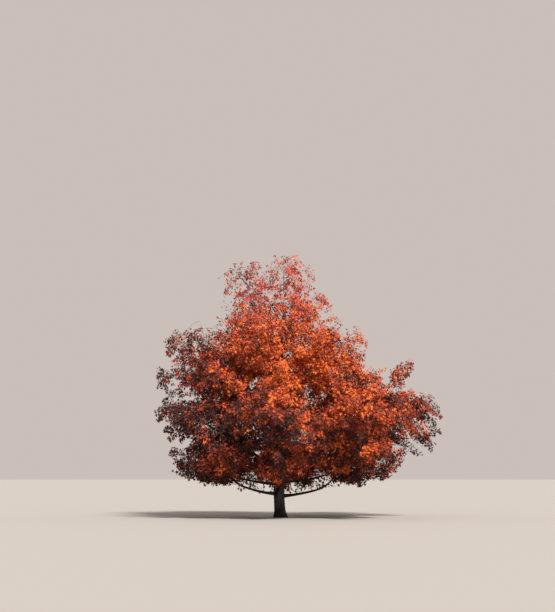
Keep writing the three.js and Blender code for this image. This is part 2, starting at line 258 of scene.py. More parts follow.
class BarkGrain:
    """The node group that both barks share: cracked plates with a fine grain in them."""

    NAME = "bark_grain"
    INPUTS = (
        ("Place", "NodeSocketVector", (0, 0, 0)),
        ("Plates per metre", "NodeSocketFloat", 20.0),
        ("Drawn out", "NodeSocketFloat", 0.22),
    )
    OUTPUTS = ("Plates", "Weather", "Height")
    EDGE_WIDTH = 0.22
    GRAIN_DETAIL = 8
    GRAIN_ROUGHNESS = 0.62
    GRAINS_PER_PLATE = 3.2
    GRAIN_HEIGHT = 0.55
    WEATHER_SCALE = 3.1
    WEATHER_DETAIL = 3
    WEATHER_RANGE = (0.42, 0.66)

    @classmethod
    def group(cls) -> bpy.types.NodeTree:
        """Builds the group once and hands it out after that.

        Returns:
            A group that takes a place on the limb, the plates' size and how far they are drawn
            out along it, and gives a mask of the plates, patches of weather and a height.
        """
        known = bpy.data.node_groups.get(cls.NAME)
        if known:
            return known
        tree = bpy.data.node_groups.new(cls.NAME, "ShaderNodeTree")
        for name, kind, value in cls.INPUTS:
            socket = tree.interface.new_socket(name, in_out="INPUT", socket_type=kind)
            socket.default_value = value
        for name in cls.OUTPUTS:
            tree.interface.new_socket(name, in_out="OUTPUT", socket_type="NodeSocketFloat")
        cls._wire(tree)
        return tree

    @staticmethod
    def _wire(tree: bpy.types.NodeTree) -> None:
        """Places and joins the group's nodes.

        Args:
            tree: The group, with its sockets made.
        """
        new, link = tree.nodes.new, tree.links.new
        inside, outside = new("NodeGroupInput"), new("NodeGroupOutput")
        stretch = new("ShaderNodeCombineXYZ")
        stretch.inputs["X"].default_value = 1
        stretch.inputs["Y"].default_value = 1
        link(inside.outputs["Drawn out"], stretch.inputs["Z"])
        place = new("ShaderNodeVectorMath")
        place.operation = "MULTIPLY"
        link(inside.outputs["Place"], place.inputs[0])
        link(stretch.outputs[0], place.inputs[1])

        plates = new("ShaderNodeTexVoronoi")
        plates.feature = "DISTANCE_TO_EDGE"
        link(place.outputs[0], plates.inputs["Vector"])
        link(inside.outputs["Plates per metre"], plates.inputs["Scale"])
        edges = new("ShaderNodeMapRange")
        edges.inputs["From Max"].default_value = BarkGrain.EDGE_WIDTH
        link(plates.outputs["Distance"], edges.inputs["Value"])

        grain = new("ShaderNodeTexNoise")
        grain.inputs["Detail"].default_value = BarkGrain.GRAIN_DETAIL
        grain.inputs["Roughness"].default_value = BarkGrain.GRAIN_ROUGHNESS
        fine = new("ShaderNodeMath")
        fine.operation = "MULTIPLY"
        fine.inputs[1].default_value = BarkGrain.GRAINS_PER_PLATE
        link(inside.outputs["Plates per metre"], fine.inputs[0])
        link(place.outputs[0], grain.inputs["Vector"])
        link(fine.outputs[0], grain.inputs["Scale"])

        weather = new("ShaderNodeTexNoise")
        weather.inputs["Scale"].default_value = BarkGrain.WEATHER_SCALE
        weather.inputs["Detail"].default_value = BarkGrain.WEATHER_DETAIL
        link(inside.outputs["Place"], weather.inputs["Vector"])
        patches = new("ShaderNodeMapRange")
        patches.inputs["From Min"].default_value = BarkGrain.WEATHER_RANGE[0]
        patches.inputs["From Max"].default_value = BarkGrain.WEATHER_RANGE[1]
        link(weather.outputs["Fac"], patches.inputs["Value"])

        height = new("ShaderNodeMath")
        height.operation = "MULTIPLY_ADD"
        height.inputs[1].default_value = BarkGrain.GRAIN_HEIGHT
        link(grain.outputs["Fac"], height.inputs[0])
        link(edges.outputs[0], height.inputs[2])
        mask = new("ShaderNodeMath")
        mask.operation = "MULTIPLY"
        link(edges.outputs[0], mask.inputs[0])
        link(grain.outputs["Fac"], mask.inputs[1])

        link(mask.outputs[0], outside.inputs["Plates"])
        link(patches.outputs[0], outside.inputs["Weather"])
        link(height.outputs[0], outside.inputs["Height"])


@dataclass(frozen=True)
class BarkFinish:
    """Grey maple bark: dark cracks, paler plates and patches of weathered grey. All its colours are kept
    near black: partly the bark's own dark grey, partly painted shade of the crown over the trunk and
    boughs.

    The plates are counted per metre and drawn out along the limb. The relief is how deep the mesh's
    own cracks go, and the depth is the bump's.
    """

    name: str
    plates: float
    drawn_out: float
    relief: float
    # Near black: the bark's own dark grey, darkened further as painted shade from the crown.
    crack: Colour = (0.005, 0.0045, 0.0045)
    plate: Colour = (0.022, 0.02, 0.019)
    weathered: Colour = (0.038, 0.036, 0.035)
    crack_roughness: float = 0.97
    plate_roughness: float = 0.78
    specular: float = 0.15
    bump: float = 0.5
    depth: float = 0.006

    def material(self) -> bpy.types.Material:
        """Makes the material, which follows the limb by its own attribute.

        Returns:
            One whose shader takes colour, roughness and normal from the shared grain.
        """
        made, shader = bare_material(self.name)
        tree = made.node_tree
        new, link = tree.nodes.new, tree.links.new
        place = new("ShaderNodeAttribute")
        place.attribute_name = LimbSkin.PLACE
        grain = new("ShaderNodeGroup")
        grain.node_tree = BarkGrain.group()
        grain.inputs["Plates per metre"].default_value = self.plates
        grain.inputs["Drawn out"].default_value = self.drawn_out
        link(place.outputs["Vector"], grain.inputs["Place"])

        bare = self._blend(tree, grain.outputs["Plates"], self.crack, self.plate)
        patched = self._blend(tree, grain.outputs["Weather"], self.plate, self.weathered)
        both = new("ShaderNodeMix")
        both.data_type = "RGBA"
        link(grain.outputs["Plates"], both.inputs["Factor"])
        link(bare, both.inputs["A"])
        link(patched, both.inputs["B"])
        link(both.outputs["Result"], shader.inputs["Base Color"])

        rough = new("ShaderNodeMapRange")
        rough.inputs["To Min"].default_value = self.crack_roughness
        rough.inputs["To Max"].default_value = self.plate_roughness
        link(grain.outputs["Plates"], rough.inputs["Value"])
        link(rough.outputs[0], shader.inputs["Roughness"])
        shader.inputs["Specular IOR Level"].default_value = self.specular
        bump = new("ShaderNodeBump")
        bump.inputs["Strength"].default_value = self.bump
        bump.inputs["Distance"].default_value = self.depth
        link(grain.outputs["Height"], bump.inputs["Height"])
        link(bump.outputs["Normal"], shader.inputs["Normal"])
        return made

    @staticmethod
    def _blend(
        tree: bpy.types.NodeTree, mask: bpy.types.NodeSocket, low: Colour, high: Colour
    ) -> bpy.types.NodeSocket:
        """Adds a mix of two colours by a mask.

        Args:
            tree: The material's nodes.
            mask: The output that says how much of the second colour shows.
            low: The first colour.
            high: The second colour.

        Returns:
            The output with the mixed colour.
        """
        made = tree.nodes.new("ShaderNodeMix")
        made.data_type = "RGBA"
        made.inputs["A"].default_value = (*low, 1)
        made.inputs["B"].default_value = (*high, 1)
        tree.links.new(mask, made.inputs["Factor"])
        return made.outputs["Result"]


class Bark(Enum):
    """The bark's ages: cracked into long plates on the trunk, closer and flatter on the boughs."""

    TRUNK = BarkFinish("bark_trunk", 19.0, 0.2, 0.011)
    BOUGH = BarkFinish("bark_bough", 38.0, 0.3, 0.0022, bump=0.4, depth=0.003)


@dataclass(frozen=True)
class Ring:
    """A ring of masses round the trunk, as the source has it.

    Turn and launch are in degrees. The shift moves the ring to the right, its boughs leave the trunk
    between the heights of its feet, and their girth is a radius. Pairs are each mass's pairs of twigs.
    """

    name: str
    count: int
    turn: float
    height: float
    shift: float
    reach: float
    halves: tuple[float, float, float]
    feet: tuple[float, float]
    launch: float
    girth: float
    pairs: int


RINGS = (
    Ring("lowest", 6, 30, 2.08, 0.15, 2.7, (1.75, 1.8, 1.0), (0.74, 1.3), 0, 0.05, 7),
    Ring("broad", 7, 0, 3.2, 0.45, 3.45, (1.8, 2.0, 1.4), (1.48, 2.35), 30, 0.06, 7),
    Ring("middle", 5, 0, 4.68, -0.38, 2.3, (1.68, 2.0, 1.3), (2.65, 3.5), 36, 0.048, 7),
    Ring("high", 5, 36, 5.78, -0.34, 2.0, (1.5, 1.75, 1.15), (3.85, 4.7), 42, 0.038, 7),
    Ring("upper", 4, 225, 7.05, -0.16, 1.15, (1.02, 1.18, 1.15), (5.15, 5.9), 56, 0.027, 6),
)


@dataclass(frozen=True)
class BoughRule:
    """The source's sizes that all boughs share."""

    variety: float = 0.07
    turn_variety: float = 80.0
    stagger: float = 0.382
    bend: float = 0.48
    entry: tuple[float, float] = (0.86, 0.06)
    tip_depth: float = 0.09
    tip_share: float = 0.55
    collar: float = 0.45
    collar_length: float = 0.15
    wobble: float = 0.034
    wobble_rise: float = 0.6
    divisions: int = 200


@dataclass(frozen=True)
class BladeRule:
    """The source's blade, whose place a spray takes: sizes are shares of its reach."""

    size: float = 0.5
    range: tuple[float, float] = (0.88, 1.12)
    outline: tuple[tuple[float, float], ...] = ((0, 1.0), (33, 0.6), (67, 0.94), (180, 0.46))
    cup: float = 0.16
    seat: tuple[float, float] = (150, 0.1)
    facing: tuple[float, float, float] = (2.2, 1.0, 0.5)
    stray: float = 0.45
    turn: float = 0.7
    levelled: float = 0.3
    apart: float = 0.55


@dataclass(frozen=True)
class TwigRule:
    """The source's sizes of a mass's stem and twigs."""

    share: float = 0.74
    lift: float = 0.14
    tip_share: float = 0.62
    pairs: tuple[float, float] = (0.12, 0.88)
    end_twig: float = 0.97
    radius: tuple[float, float] = (0.42, 0.3)
    spread: tuple[float, float] = (96.0, 46.0)
    spread_stray: float = 16.0
    turn_stray: float = 0.5
    reach: float = 0.97
    shortest: float = 0.3
    trim: float = 0.08


BOUGH = BoughRule()
BLADE = BladeRule()
TWIG = TwigRule()


class Space:
    """The space that a mass keeps to: an ellipsoid, cut by planes where its neighbours begin."""

    GAP = 0.014
    FLATNESS = 1.6
    LEVEL_WITH = 1e-6

    def __init__(self, centre: Array, halves: Array, azimuth: float, tilt: float) -> None:
        """Places the ellipsoid.

        Args:
            centre: Its middle.
            halves: Its half sizes: out from the trunk, across, and up.
            azimuth: The way out from the trunk, in radians.
            tilt: How far it leans out, in radians.
        """
        self.centre = centre
        self.halves = halves
        out, across = heading(azimuth, -tilt), heading(azimuth + math.pi / 2, 0)
        self.axes = np.stack((out, across, np.cross(out, across)))
        self.mean_half = float(np.cbrt(np.prod(halves)))
        self.normals = np.zeros((0, 3))
        self.levels = np.zeros(0)

    def units(self, vectors: Array, margin: float = 0.0) -> Array:
        """Vectors in units of the half sizes, less a margin."""
        return vectors @ self.axes.T / (self.halves - self.GAP - margin)

    def extent(self, direction: Array) -> float:
        """How far the ellipsoid reaches from its centre in a direction."""
        return 1 / float(np.linalg.norm(self.units(direction)))

    def outward(self, points: Array) -> Array:
        """The way out of the ellipsoid at points, square to its face."""
        return unit(self.units(points - self.centre) / self.halves @ self.axes)

    def part_from(self, other: "Space") -> None:
        """Adds the plane where a neighbour begins.

        Args:
            other: The neighbour's space.
        """
        between = other.centre - self.centre
        direction = unit(between)
        mine = self.extent(direction)
        share = mine / (mine + other.extent(direction))
        normal = unit(between * np.array((1.0, 1.0, self.FLATNESS**2)))
        level = float((self.centre + between * share) @ normal) - self.GAP
        self.normals = np.vstack((self.normals, normal))
        self.levels = np.append(self.levels, level)

    def holds(self, points: Array, margin: float = 0.0) -> Flags:
        """True for each point inside the ellipsoid, and inside the planes by a margin."""
        inside = self.depth(points) <= 1
        return inside & (points @ self.normals.T < self.levels - margin).all(axis=-1)

    def depth(self, points: Array) -> Array:
        """How far out points lie: one on the ellipsoid, more beyond it."""
        return lengths(self.units(points - self.centre))

    def loosely_holds(self, points: Array, looseness: Array) -> Flags:
        """Tests points against the space, drawn out a little or a lot.

        Args:
            points: Rows of points.
            looseness: The factor that the ellipsoid is drawn out by, for each.

        Returns:
            True for each point inside.
        """
        inside = self.depth(points) <= looseness
        slack = (looseness - 1)[:, None] * self.mean_half
        return inside & (points @ self.normals.T < self.levels + slack).all(axis=-1)

    def room(self, points: Array, ways: Array, margin: float = 0.0) -> Array:
        """Measures the way from points inside to where the space ends.

        Args:
            points: Rows of points.
            ways: A direction for each.
            margin: How far inside the space's end the way stops.

        Returns:
            A length for each, under zero where there is no room.
        """
        start = self.units(points - self.centre, margin)
        step = self.units(ways, margin)
        a = (step**2).sum(-1)
        b = (start * step).sum(-1)
        c = (start**2).sum(-1) - 1
        way = (-b + np.sqrt(np.maximum(0, b * b - a * c))) / a
        towards = ways @ self.normals.T
        gaps = self.levels - margin - points @ self.normals.T
        meets = towards > self.LEVEL_WITH
        ends = np.where(meets, gaps / np.where(meets, towards, 1), np.inf)
        return np.minimum(way, ends.min(axis=-1))


@dataclass(frozen=True)
class Limits:
    """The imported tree's box, with the share of each side that foliage may stand proud of it."""

    PROUD = 0.025

    low: Array
    high: Array

    @classmethod
    def around(cls, box: tuple[Vector, Vector]) -> "Limits":
        """The limits round a box."""
        low, high = (np.array(corner) for corner in box)
        return cls(low - (high - low) * cls.PROUD, high + (high - low) * cls.PROUD)

    def hold(self, points: Array) -> Flags:
        """True for each point inside."""
        return ((points > self.low) & (points < self.high)).all(axis=-1)


@dataclass
class Arcs:
    """Curved limbs or shoots as arrays: a start, a point to bend towards, an end and two radii."""

    start: Array
    bend: Array
    end: Array
    foot: Array
    tip: Array

    def at(self, share: Array) -> Array:
        """Points on the arcs, at a share of the way along each."""
        t = share[..., None]
        return (1 - t) ** 2 * self.start + 2 * (1 - t) * t * self.bend + t**2 * self.end

    def way(self, share: Array) -> Array:
        """The arcs' directions, at a share of the way along each."""
        t = share[..., None]
        return unit((1 - t) * (self.bend - self.start) + t * (self.end - self.bend))

    def lengths(self) -> Array:
        """The arcs' lengths, halfway between chord and corners."""
        corners = lengths(self.bend - self.start) + lengths(self.end - self.bend)
        return (corners + lengths(self.end - self.start)) / 2

    def arrays(self) -> tuple[Array, ...]:
        """The arrays, in the order of their names."""
        return self.start, self.bend, self.end, self.foot, self.tip

    def pick(self, which: Marks | Flags) -> "Arcs":
        """Some of the arcs, by number or by a flag for each."""
        return Arcs(*(values[which] for values in self.arrays()))

    @staticmethod
    def joined(parts: list["Arcs"]) -> "Arcs":
        """Several sets of arcs as one set."""
        return Arcs(*(np.concatenate(values) for values in zip(*(part.arrays() for part in parts))))


class Joined:
    """Gathers many small things into one mesh, from arrays."""

    def __init__(self) -> None:
        """Starts with nothing gathered."""
        self.points: list[Array] = []
        self.faces: list[Marks] = []
        self.finishes: list[Marks] = []
        self.count = 0

    def add(self, points: Array, faces: Marks, finishes: Marks) -> None:
        """Adds copies of one shape.

        Args:
            points: The corners of each copy, as copies by corners by three.
            faces: Triangles between the corners of one copy.
            finishes: The material's number for each copy.
        """
        copies, corners = points.shape[:2]
        firsts = self.count + np.arange(copies) * corners
        self.points.append(points.reshape(-1, 3))
        self.faces.append((firsts[:, None, None] + faces).reshape(-1, 3))
        self.finishes.append(np.repeat(finishes, len(faces)))
        self.count += copies * corners

    def piece(self, name: str, finishes: Finishes, smooth: bool) -> Object:
        """Makes the gathered things one object.

        Args:
            name: The piece's name.
            finishes: Its materials, in the order of their numbers.
            smooth: Whether its faces are shaded as one round skin.

        Returns:
            The object, linked to the scene.
        """
        mesh = bpy.data.meshes.new(name)
        mesh.from_pydata(np.concatenate(self.points), [], np.concatenate(self.faces))
        for finish in finishes:
            mesh.materials.append(finish)
        mesh.polygons.foreach_set("material_index", np.concatenate(self.finishes))
        mesh.polygons.foreach_set("use_smooth", np.full(len(mesh.polygons), smooth))
        mesh.update()
        return placed(name, mesh)


@dataclass
class LimbSkin:
    """Bark in relief round a limb: a fine tube carried onto the limb's line.

    The rings crowd towards the foot where the crowding is over one, and a level tube's rings lie flat.
    """

    PLACE = "bark_place"
    TUBE = 1.0
    WARP_SCALE = 0.35
    WARP = 0.35
    CRACK_WIDTH = 0.4
    LUMP_SCALE = 0.6
    LUMPS = 0.5
    FINE_SCALE = 2.7
    FINE = 0.25

    name: str
    line: Callable[[Array], Array]
    radius: Callable[[float, float], float]
    length: float
    bark: BarkFinish
    sides: int
    rings: int
    crowding: float = 1.0
    level: bool = False

    def build(self, finish: bpy.types.Material) -> Object:
        """Models the skin.

        Args:
            finish: The bark's material.

        Returns:
            The object, linked to the scene.
        """
        shape = bmesh.new()
        bmesh.ops.create_cone(
            shape, cap_ends=True, segments=self.sides, radius1=1, radius2=1, depth=self.TUBE
        )
        rises = {edge: abs(edge.verts[0].co.z - edge.verts[1].co.z) for edge in shape.edges}
        shafts = [edge for edge, rise in rises.items() if rise > self.TUBE / 2]
        bmesh.ops.subdivide_edges(shape, edges=shafts, cuts=self.rings - 1, use_grid_fill=True)
        self._carry(shape)
        bmesh.ops.recalc_face_normals(shape, faces=shape.faces)
        mesh = bpy.data.meshes.new(self.name)
        shape.to_mesh(mesh)
        shape.free()
        mesh.materials.append(finish)
        mesh.polygons.foreach_set("use_smooth", np.full(len(mesh.polygons), True))
        return placed(self.name, mesh)

    def _carry(self, shape: bmesh.types.BMesh) -> None:
        """Carries the straight tube onto the line, with its relief.

        Args:
            shape: A tube of radius one whose middle is the origin.
        """
        shares = (np.arange(self.rings + 1) / self.rings) ** self.crowding
        centres = self.line(shares)
        ahead = self.line(np.minimum(1, shares + MATCH))
        ways = unit(ahead - self.line(np.maximum(0, shares - MATCH)))
        if self.level:
            ways = np.broadcast_to(UP, ways.shape)
        across, _ = frame_of(unit(centres[-1] - centres[0]))
        overs = unit(np.cross(across, ways))
        levels = np.cross(ways, overs)
        place = shape.verts.layers.float_vector.new(self.PLACE)
        for vert in shape.verts:
            ring = round((vert.co.z / self.TUBE + 0.5) * self.rings)
            angle = math.atan2(vert.co.y, vert.co.x)
            out = self.radius(shares[ring], angle)
            along = shares[ring] * self.length
            spot = Vector((out * math.cos(angle), out * math.sin(angle), along))
            out += self._relief(spot)
            vert[place] = spot
            aside = out * math.cos(angle) * overs[ring] + out * math.sin(angle) * levels[ring]
            vert.co = Vector(centres[ring] - aside)

    def _relief(self, spot: Vector) -> float:
        """Measures the relief of cracked plates, with lumps and a fine grain.

        Args:
            spot: A place on the limb, drawn straight.

        Returns:
            How far the bark lies in from the limb's even surface there, as a length under zero.
        """
        bark = self.bark
        warp = noise.noise_vector(spot * bark.plates * self.WARP_SCALE) * self.WARP
        cell = Vector((spot.x, spot.y, spot.z * bark.drawn_out)) * bark.plates + warp
        near, second = noise.voronoi(cell)[0][:2]
        crack = 1 - min(1.0, (second - near) / self.CRACK_WIDTH)
        lumps = self.LUMPS * (1 + noise.noise(cell * self.LUMP_SCALE)) / 2
        fine = self.FINE * (1 + noise.noise(cell * self.FINE_SCALE)) / 2
        return -bark.relief * (crack**2 + lumps + fine)


@dataclass
class Bough:
    """One bough: it leaves its parent at its launch angle, bends to its mass and wobbles a little.

    Its girth is its radius near its parent, and its seat is how far it runs inside the parent.
    """

    SIDES = 20
    LEAST_RINGS = 16
    RINGS_PER_METRE = 22

    name: str
    start: Array
    bend: Array
    tip: Array
    phase: float
    girth: float
    seat: float
    length: float = field(init=False)

    def __post_init__(self) -> None:
        """Measures the bough's length."""
        points = self.line(np.linspace(0, 1, BOUGH.divisions + 1))
        self.length = float(lengths(np.diff(points, axis=0)).sum())

    def line(self, share: Array) -> Array:
        """Points on the bough's middle line.

        Args:
            share: Shares of the way along.

        Returns:
            A row for each share.
        """
        t = np.atleast_1d(share)[:, None]
        across, over = frame_of(unit(self.tip - self.start))
        fade = BOUGH.wobble * np.sin(math.pi * t)
        turn = 2 * math.pi * t + self.phase
        arc = (1 - t) ** 2 * self.start + 2 * (1 - t) * t * self.bend + t**2 * self.tip
        return arc + across * fade * np.sin(turn) + over * BOUGH.wobble_rise * fade * np.cos(turn)

    def radius(self, share: float, angle: float = 0.0) -> float:
        """The bough's radius: thick and collared at its parent, then tapering.

        Args:
            share: A share of the way along.
            angle: The angle round the bough, which changes nothing, as it is round.

        Returns:
            The radius.
        """
        way = max(0.0, share * self.length - self.seat)
        bare = self.girth * mix(1, BOUGH.tip_share, share)
        return bare * (1 + BOUGH.collar * math.exp(-way / BOUGH.collar_length))

    def dress(self, finish: bpy.types.Material) -> Object:
        """Makes the bough's bark.

        Args:
            finish: The bark's material.

        Returns:
            The piece that stands for the bough's node.
        """
        name, bark = f"bark_{self.name}", Bark.BOUGH.value
        rings = max(self.LEAST_RINGS, round(self.length * self.RINGS_PER_METRE))
        skin = LimbSkin(name, self.line, self.radius, self.length, bark, self.SIDES, rings)
        made = skin.build(finish)
        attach(made, BODY)
        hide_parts(f"bough_{self.name}")
        return made


@dataclass(frozen=True)
class Trunk:
    """The source's trunk, from its flat foot, with its root flare, up to the leader's tip.

    Its girth is the shaft's radius up to the clear height, and from there it tapers to the apex.
    """

    SIDES = 80
    RINGS = 250
    CROWDING = 1.2

    height: float = 7.7
    girth: float = 0.188
    clear: float = 0.9
    apex: float = 8.35
    taper: float = 1.12
    lean: float = 0.012
    sway: float = 0.046
    sway_length: float = 4.2
    depth_sway: float = 0.04
    depth_sway_length: float = 5.6
    flare: float = 0.42
    flare_height: float = 0.15
    root_lobes: int = 5
    lobe_depth: float = 0.16
    lobe_height: float = 0.26

    def line(self, share: Array) -> Array:
        """Points on the trunk's middle line.

        Args:
            share: Shares of the trunk's height.

        Returns:
            A row for each share.
        """
        height = np.atleast_1d(share) * self.height
        sway = -self.sway * np.sin(2 * math.pi * height / self.sway_length)
        depth = self.depth_sway * np.sin(2 * math.pi * height / self.depth_sway_length)
        return np.stack((self.lean * height + sway, depth, height), axis=-1)

    def shaft_radius(self, height: float) -> float:
        """The bare shaft's radius at a height."""
        share = max(0.0, height - self.clear) / (self.apex - self.clear)
        return self.girth * (1 - share) ** self.taper

    def radius(self, share: float, angle: float = 0.0) -> float:
        """The trunk's radius, with its root flare.

        Args:
            share: A share of the trunk's height.
            angle: The angle round the trunk.

        Returns:
            The radius.
        """
        height = share * self.height
        flare = self.flare * math.exp(-height / self.flare_height)
        lobe = self.lobe_depth * math.cos(self.root_lobes * angle)
        lobes = lobe * math.exp(-height / self.lobe_height)
        return self.shaft_radius(height) * (1 + flare + lobes)

    def dress(self, finish: bpy.types.Material) -> Object:
        """Makes the trunk's bark.

        Args:
            finish: The bark's material.

        Returns:
            The piece that stands for the trunk's node.
        """
        skin = LimbSkin(
            "bark_trunk",
            self.line,
            self.radius,
            self.height,
            Bark.TRUNK.value,
            self.SIDES,
            self.RINGS,
            self.CROWDING,
            level=True,
        )
        made = skin.build(finish)
        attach(made, BODY)
        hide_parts("trunk")
        return made


TRUNK = Trunk()


@dataclass
class Limbs:
    """Balls along the trunk and boughs, which foliage keeps clear of."""

    STEP = 0.04
    GAP = 0.012

    points: Array = field(default_factory=lambda: np.zeros((0, 3)))
    radii: Array = field(default_factory=lambda: np.zeros(0))

    def add(
        self, line: Callable[[Array], Array], radius: Callable[[float], float], length: float
    ) -> None:
        """Adds a limb.

        Args:
            line: Its middle line, by share.
            radius: Its radius, by share.
            length: Its length.
        """
        shares = np.linspace(0, 1, max(2, round(length / self.STEP)))
        self.points = np.vstack((self.points, line(shares)))
        self.radii = np.append(self.radii, [radius(float(share)) for share in shares])

    def near(self, space: Space) -> "Limbs":
        """The balls that lie near enough to a space to matter there."""
        close = lengths(self.points - space.centre) < space.halves.max()
        return Limbs(self.points[close], self.radii[close])

    def clear(self, points: Array) -> Flags:
        """True for each point that lies clear of every ball."""
        ways = lengths(points[:, None] - self.points[None])
        return (ways > self.radii + self.GAP).all(axis=-1)


@dataclass
class BladePlace:
    """Where the source would set a blade: its hub, the way its tip points, its face and its reach."""

    hub: Array
    ahead: Array
    normal: Array
    reach: float

    def point(self, degrees: float, out: float, over: float) -> Array:
        """Finds a point on the blade, in shares of its reach.

        Args:
            degrees: Its angle from the tip.
            out: Its way out from the hub.
            over: Its way off the face.

        Returns:
            The point.
        """
        across = np.cross(self.normal, self.ahead)
        turn = math.radians(degrees)
        level = out * math.cos(turn) * self.ahead + out * math.sin(turn) * across
        return self.hub + self.reach * (level + over * self.normal)

    def rim(self) -> Array:
        """Finds the blade's rim.

        Returns:
            Its points, once round from the middle tip.
        """
        half = BLADE.outline
        back = [(-degrees, out) for degrees, out in reversed(half[1:-1])]
        return np.array([self.point(turn, out, -BLADE.cup * out**2) for turn, out in (*half, *back)])


@dataclass
class Shooting:
    """How shoots stand on what bears them: spacing, angles, lengths and where they are left out.

    Spread and length run from the first shoot's to the last one's. Angles are in degrees. Margin and
    droop are shares, of the space's mean half size and of the shoot's length, and taper gives the
    shoot's thickness as shares of its parent's. Free shoots may leave the space.
    """

    SCATTER = (0.2, 0.8)
    LENGTHS = (0.7, 1.25)
    SWEEP = 0.25

    first: float
    last: float
    spacing: float
    spread: tuple[float, float]
    length: tuple[float, float]
    shortest: float
    margin: float
    droop: float
    spread_stray: float = 14.0
    turn_stray: float = 0.5
    taper: tuple[float, float] = (0.6, 0.3)
    full_size: float = 1.0
    free: bool = False

    def grow(self, parents: Arcs, space: Space, draws: np.random.Generator) -> tuple[Arcs, Marks]:
        """Grows shoots in opposite pairs, each pair turned a quarter from the last.

        Args:
            parents: The arcs that bear them.
            space: The space that they keep to.
            draws: Seeded random numbers.

        Returns:
            The shoots, and the number of each one's parent.
        """
        way = parents.lengths() * (self.last - self.first)
        nodes = np.maximum(1, np.round(way / self.spacing)).astype(int)
        owner = np.repeat(np.arange(len(nodes)), nodes)
        rank = np.arange(len(owner)) - np.repeat(np.cumsum(nodes) - nodes, nodes)
        along = (rank + draws.uniform(*self.SCATTER, len(owner))) / nodes[owner]
        spin = draws.uniform(0, 2 * math.pi, len(nodes))[owner] + rank * math.pi / 2
        owner, along, spin = (np.repeat(values, 2) for values in (owner, along, spin))
        spin = spin + np.tile((0, math.pi), len(owner) // 2)
        spin += draws.uniform(-1, 1, len(owner)) * self.turn_stray / 2
        borne = parents.pick(owner)
        share = mix(self.first, self.last, along)
        base, onward = borne.at(share), borne.way(share)
        across, over = frame_of(onward)
        spread = mix(*self.spread, along) + draws.uniform(-1, 1, len(owner)) * self.spread_stray
        spread = np.radians(spread)[:, None]
        side = across * np.cos(spin)[:, None] + over * np.sin(spin)[:, None]
        ways = onward * np.cos(spread) + side * np.sin(spread)
        wish = mix(*self.length, along) * draws.uniform(*self.LENGTHS, len(owner))
        wish *= min(1.0, space.mean_half / self.full_size)
        room = space.room(base, ways, self.margin * space.mean_half)
        length = wish if self.free else np.minimum(wish, room)
        keep = length > self.shortest
        base, ways, onward, length, share = (values[keep] for values in (base, ways, onward, length, share))
        girth = mix(borne.foot[keep], borne.tip[keep], share)
        reach = length[:, None]
        drop = -UP * self.droop * reach
        bend = base + unit(ways + self.SWEEP * onward) * reach / 2
        foot, tip = (girth * taper for taper in self.taper)
        return Arcs(base, bend, base + ways * reach + drop, foot, tip), owner[keep]


class TubeMaker:
    """Tapered twigs as arrays: rings of corners that close in a point."""

    @staticmethod
    def faces(sides: int, rings: int) -> Marks:
        """The triangles of one twig.

        Args:
            sides: How many corners a ring has.
            rings: How many rings there are before the point.

        Returns:
            Rows of three corners, facing out.
        """
        made = [(0, side + 1, side) for side in range(1, sides - 1)]
        for ring in range(rings - 1):
            for side in range(sides):
                low, next_low = ring * sides + side, ring * sides + (side + 1) % sides
                made.append((low, next_low, next_low + sides))
                made.append((low, next_low + sides, low + sides))
        last = (rings - 1) * sides
        made += [(last + side, last + (side + 1) % sides, last + sides) for side in range(sides)]
        return np.array(made)

    @staticmethod
    def corners(arcs: Arcs, sides: int, rings: int) -> Array:
        """The corners of each twig.

        Args:
            arcs: The twigs' lines and radii.
            sides: How many corners a ring has.
            rings: How many rings there are before the point.

        Returns:
            Twigs by corners by three.
        """
        count = len(arcs.foot)
        across, _ = frame_of(unit(arcs.end - arcs.start))
        angles = np.arange(sides) * 2 * math.pi / sides
        rows = []
        for ring in range(rings):
            share = np.full(count, ring / rings)
            centre, way = arcs.at(share), arcs.way(share)
            over = unit(np.cross(across, way))
            level = np.cross(way, over)
            out = mix(arcs.foot, arcs.tip, share)[:, None]
            for angle in angles:
                rows.append(centre + out * (math.cos(angle) * level + math.sin(angle) * over))
        rows.append(arcs.end)
        return np.stack(rows, axis=1)


@dataclass(frozen=True)
class LeafShape:
    """A maple leaf's five lobes as points of its right half, in shares of its length.

    Each point has its place across and along the leaf, from the basal lobe to the last notch.
    """

    STALK = 2

    half: tuple[tuple[float, float], ...] = ((0.36, 0.06), (0.27, 0.29), (0.55, 0.62), (0.18, 0.56))
    fold: float = 0.3
    droop: float = 0.26
    stalk_width: float = 0.0016

    def faces(self) -> Marks:
        """The triangles of one leaf and its stalk.

        Returns:
            Rows of three corners: the stalk, then the fans of both halves.
        """
        base, points = self.STALK, len(self.half)
        right = [base + 1 + step for step in range(points)]
        left = [point + points for point in right]
        tip = left[-1] + 1
        made = [(0, 1, base)]
        made += [(base, one, other) for one, other in zip(right, (*right[1:], tip))]
        made += [(base, other, one) for one, other in zip(left, (*left[1:], tip))]
        return np.array(made)

    def corners(self, node: Array, base: Array, ahead: Array, normal: Array, size: Array) -> Array:
        """The corners of many leaves.

        Args:
            node: Where each stalk leaves its shoot.
            base: Where the blade meets the stalk.
            ahead: The way the blade's tip points.
            normal: The blade's face.
            size: The blade's length.

        Returns:
            Leaves by corners by three.
        """
        across, length = np.cross(ahead, normal), size[:, None]
        blade = []
        for x, y in ((0.0, 0.0), *self.half, *[(-x, y) for x, y in self.half], (0.0, 1.0)):
            lift = self.fold * abs(x) - self.droop * y * y
            blade.append(base + length * (x * across + y * ahead + lift * normal))
        edge = across * self.stalk_width
        return np.stack((node + edge, node - edge, *blade), axis=1)


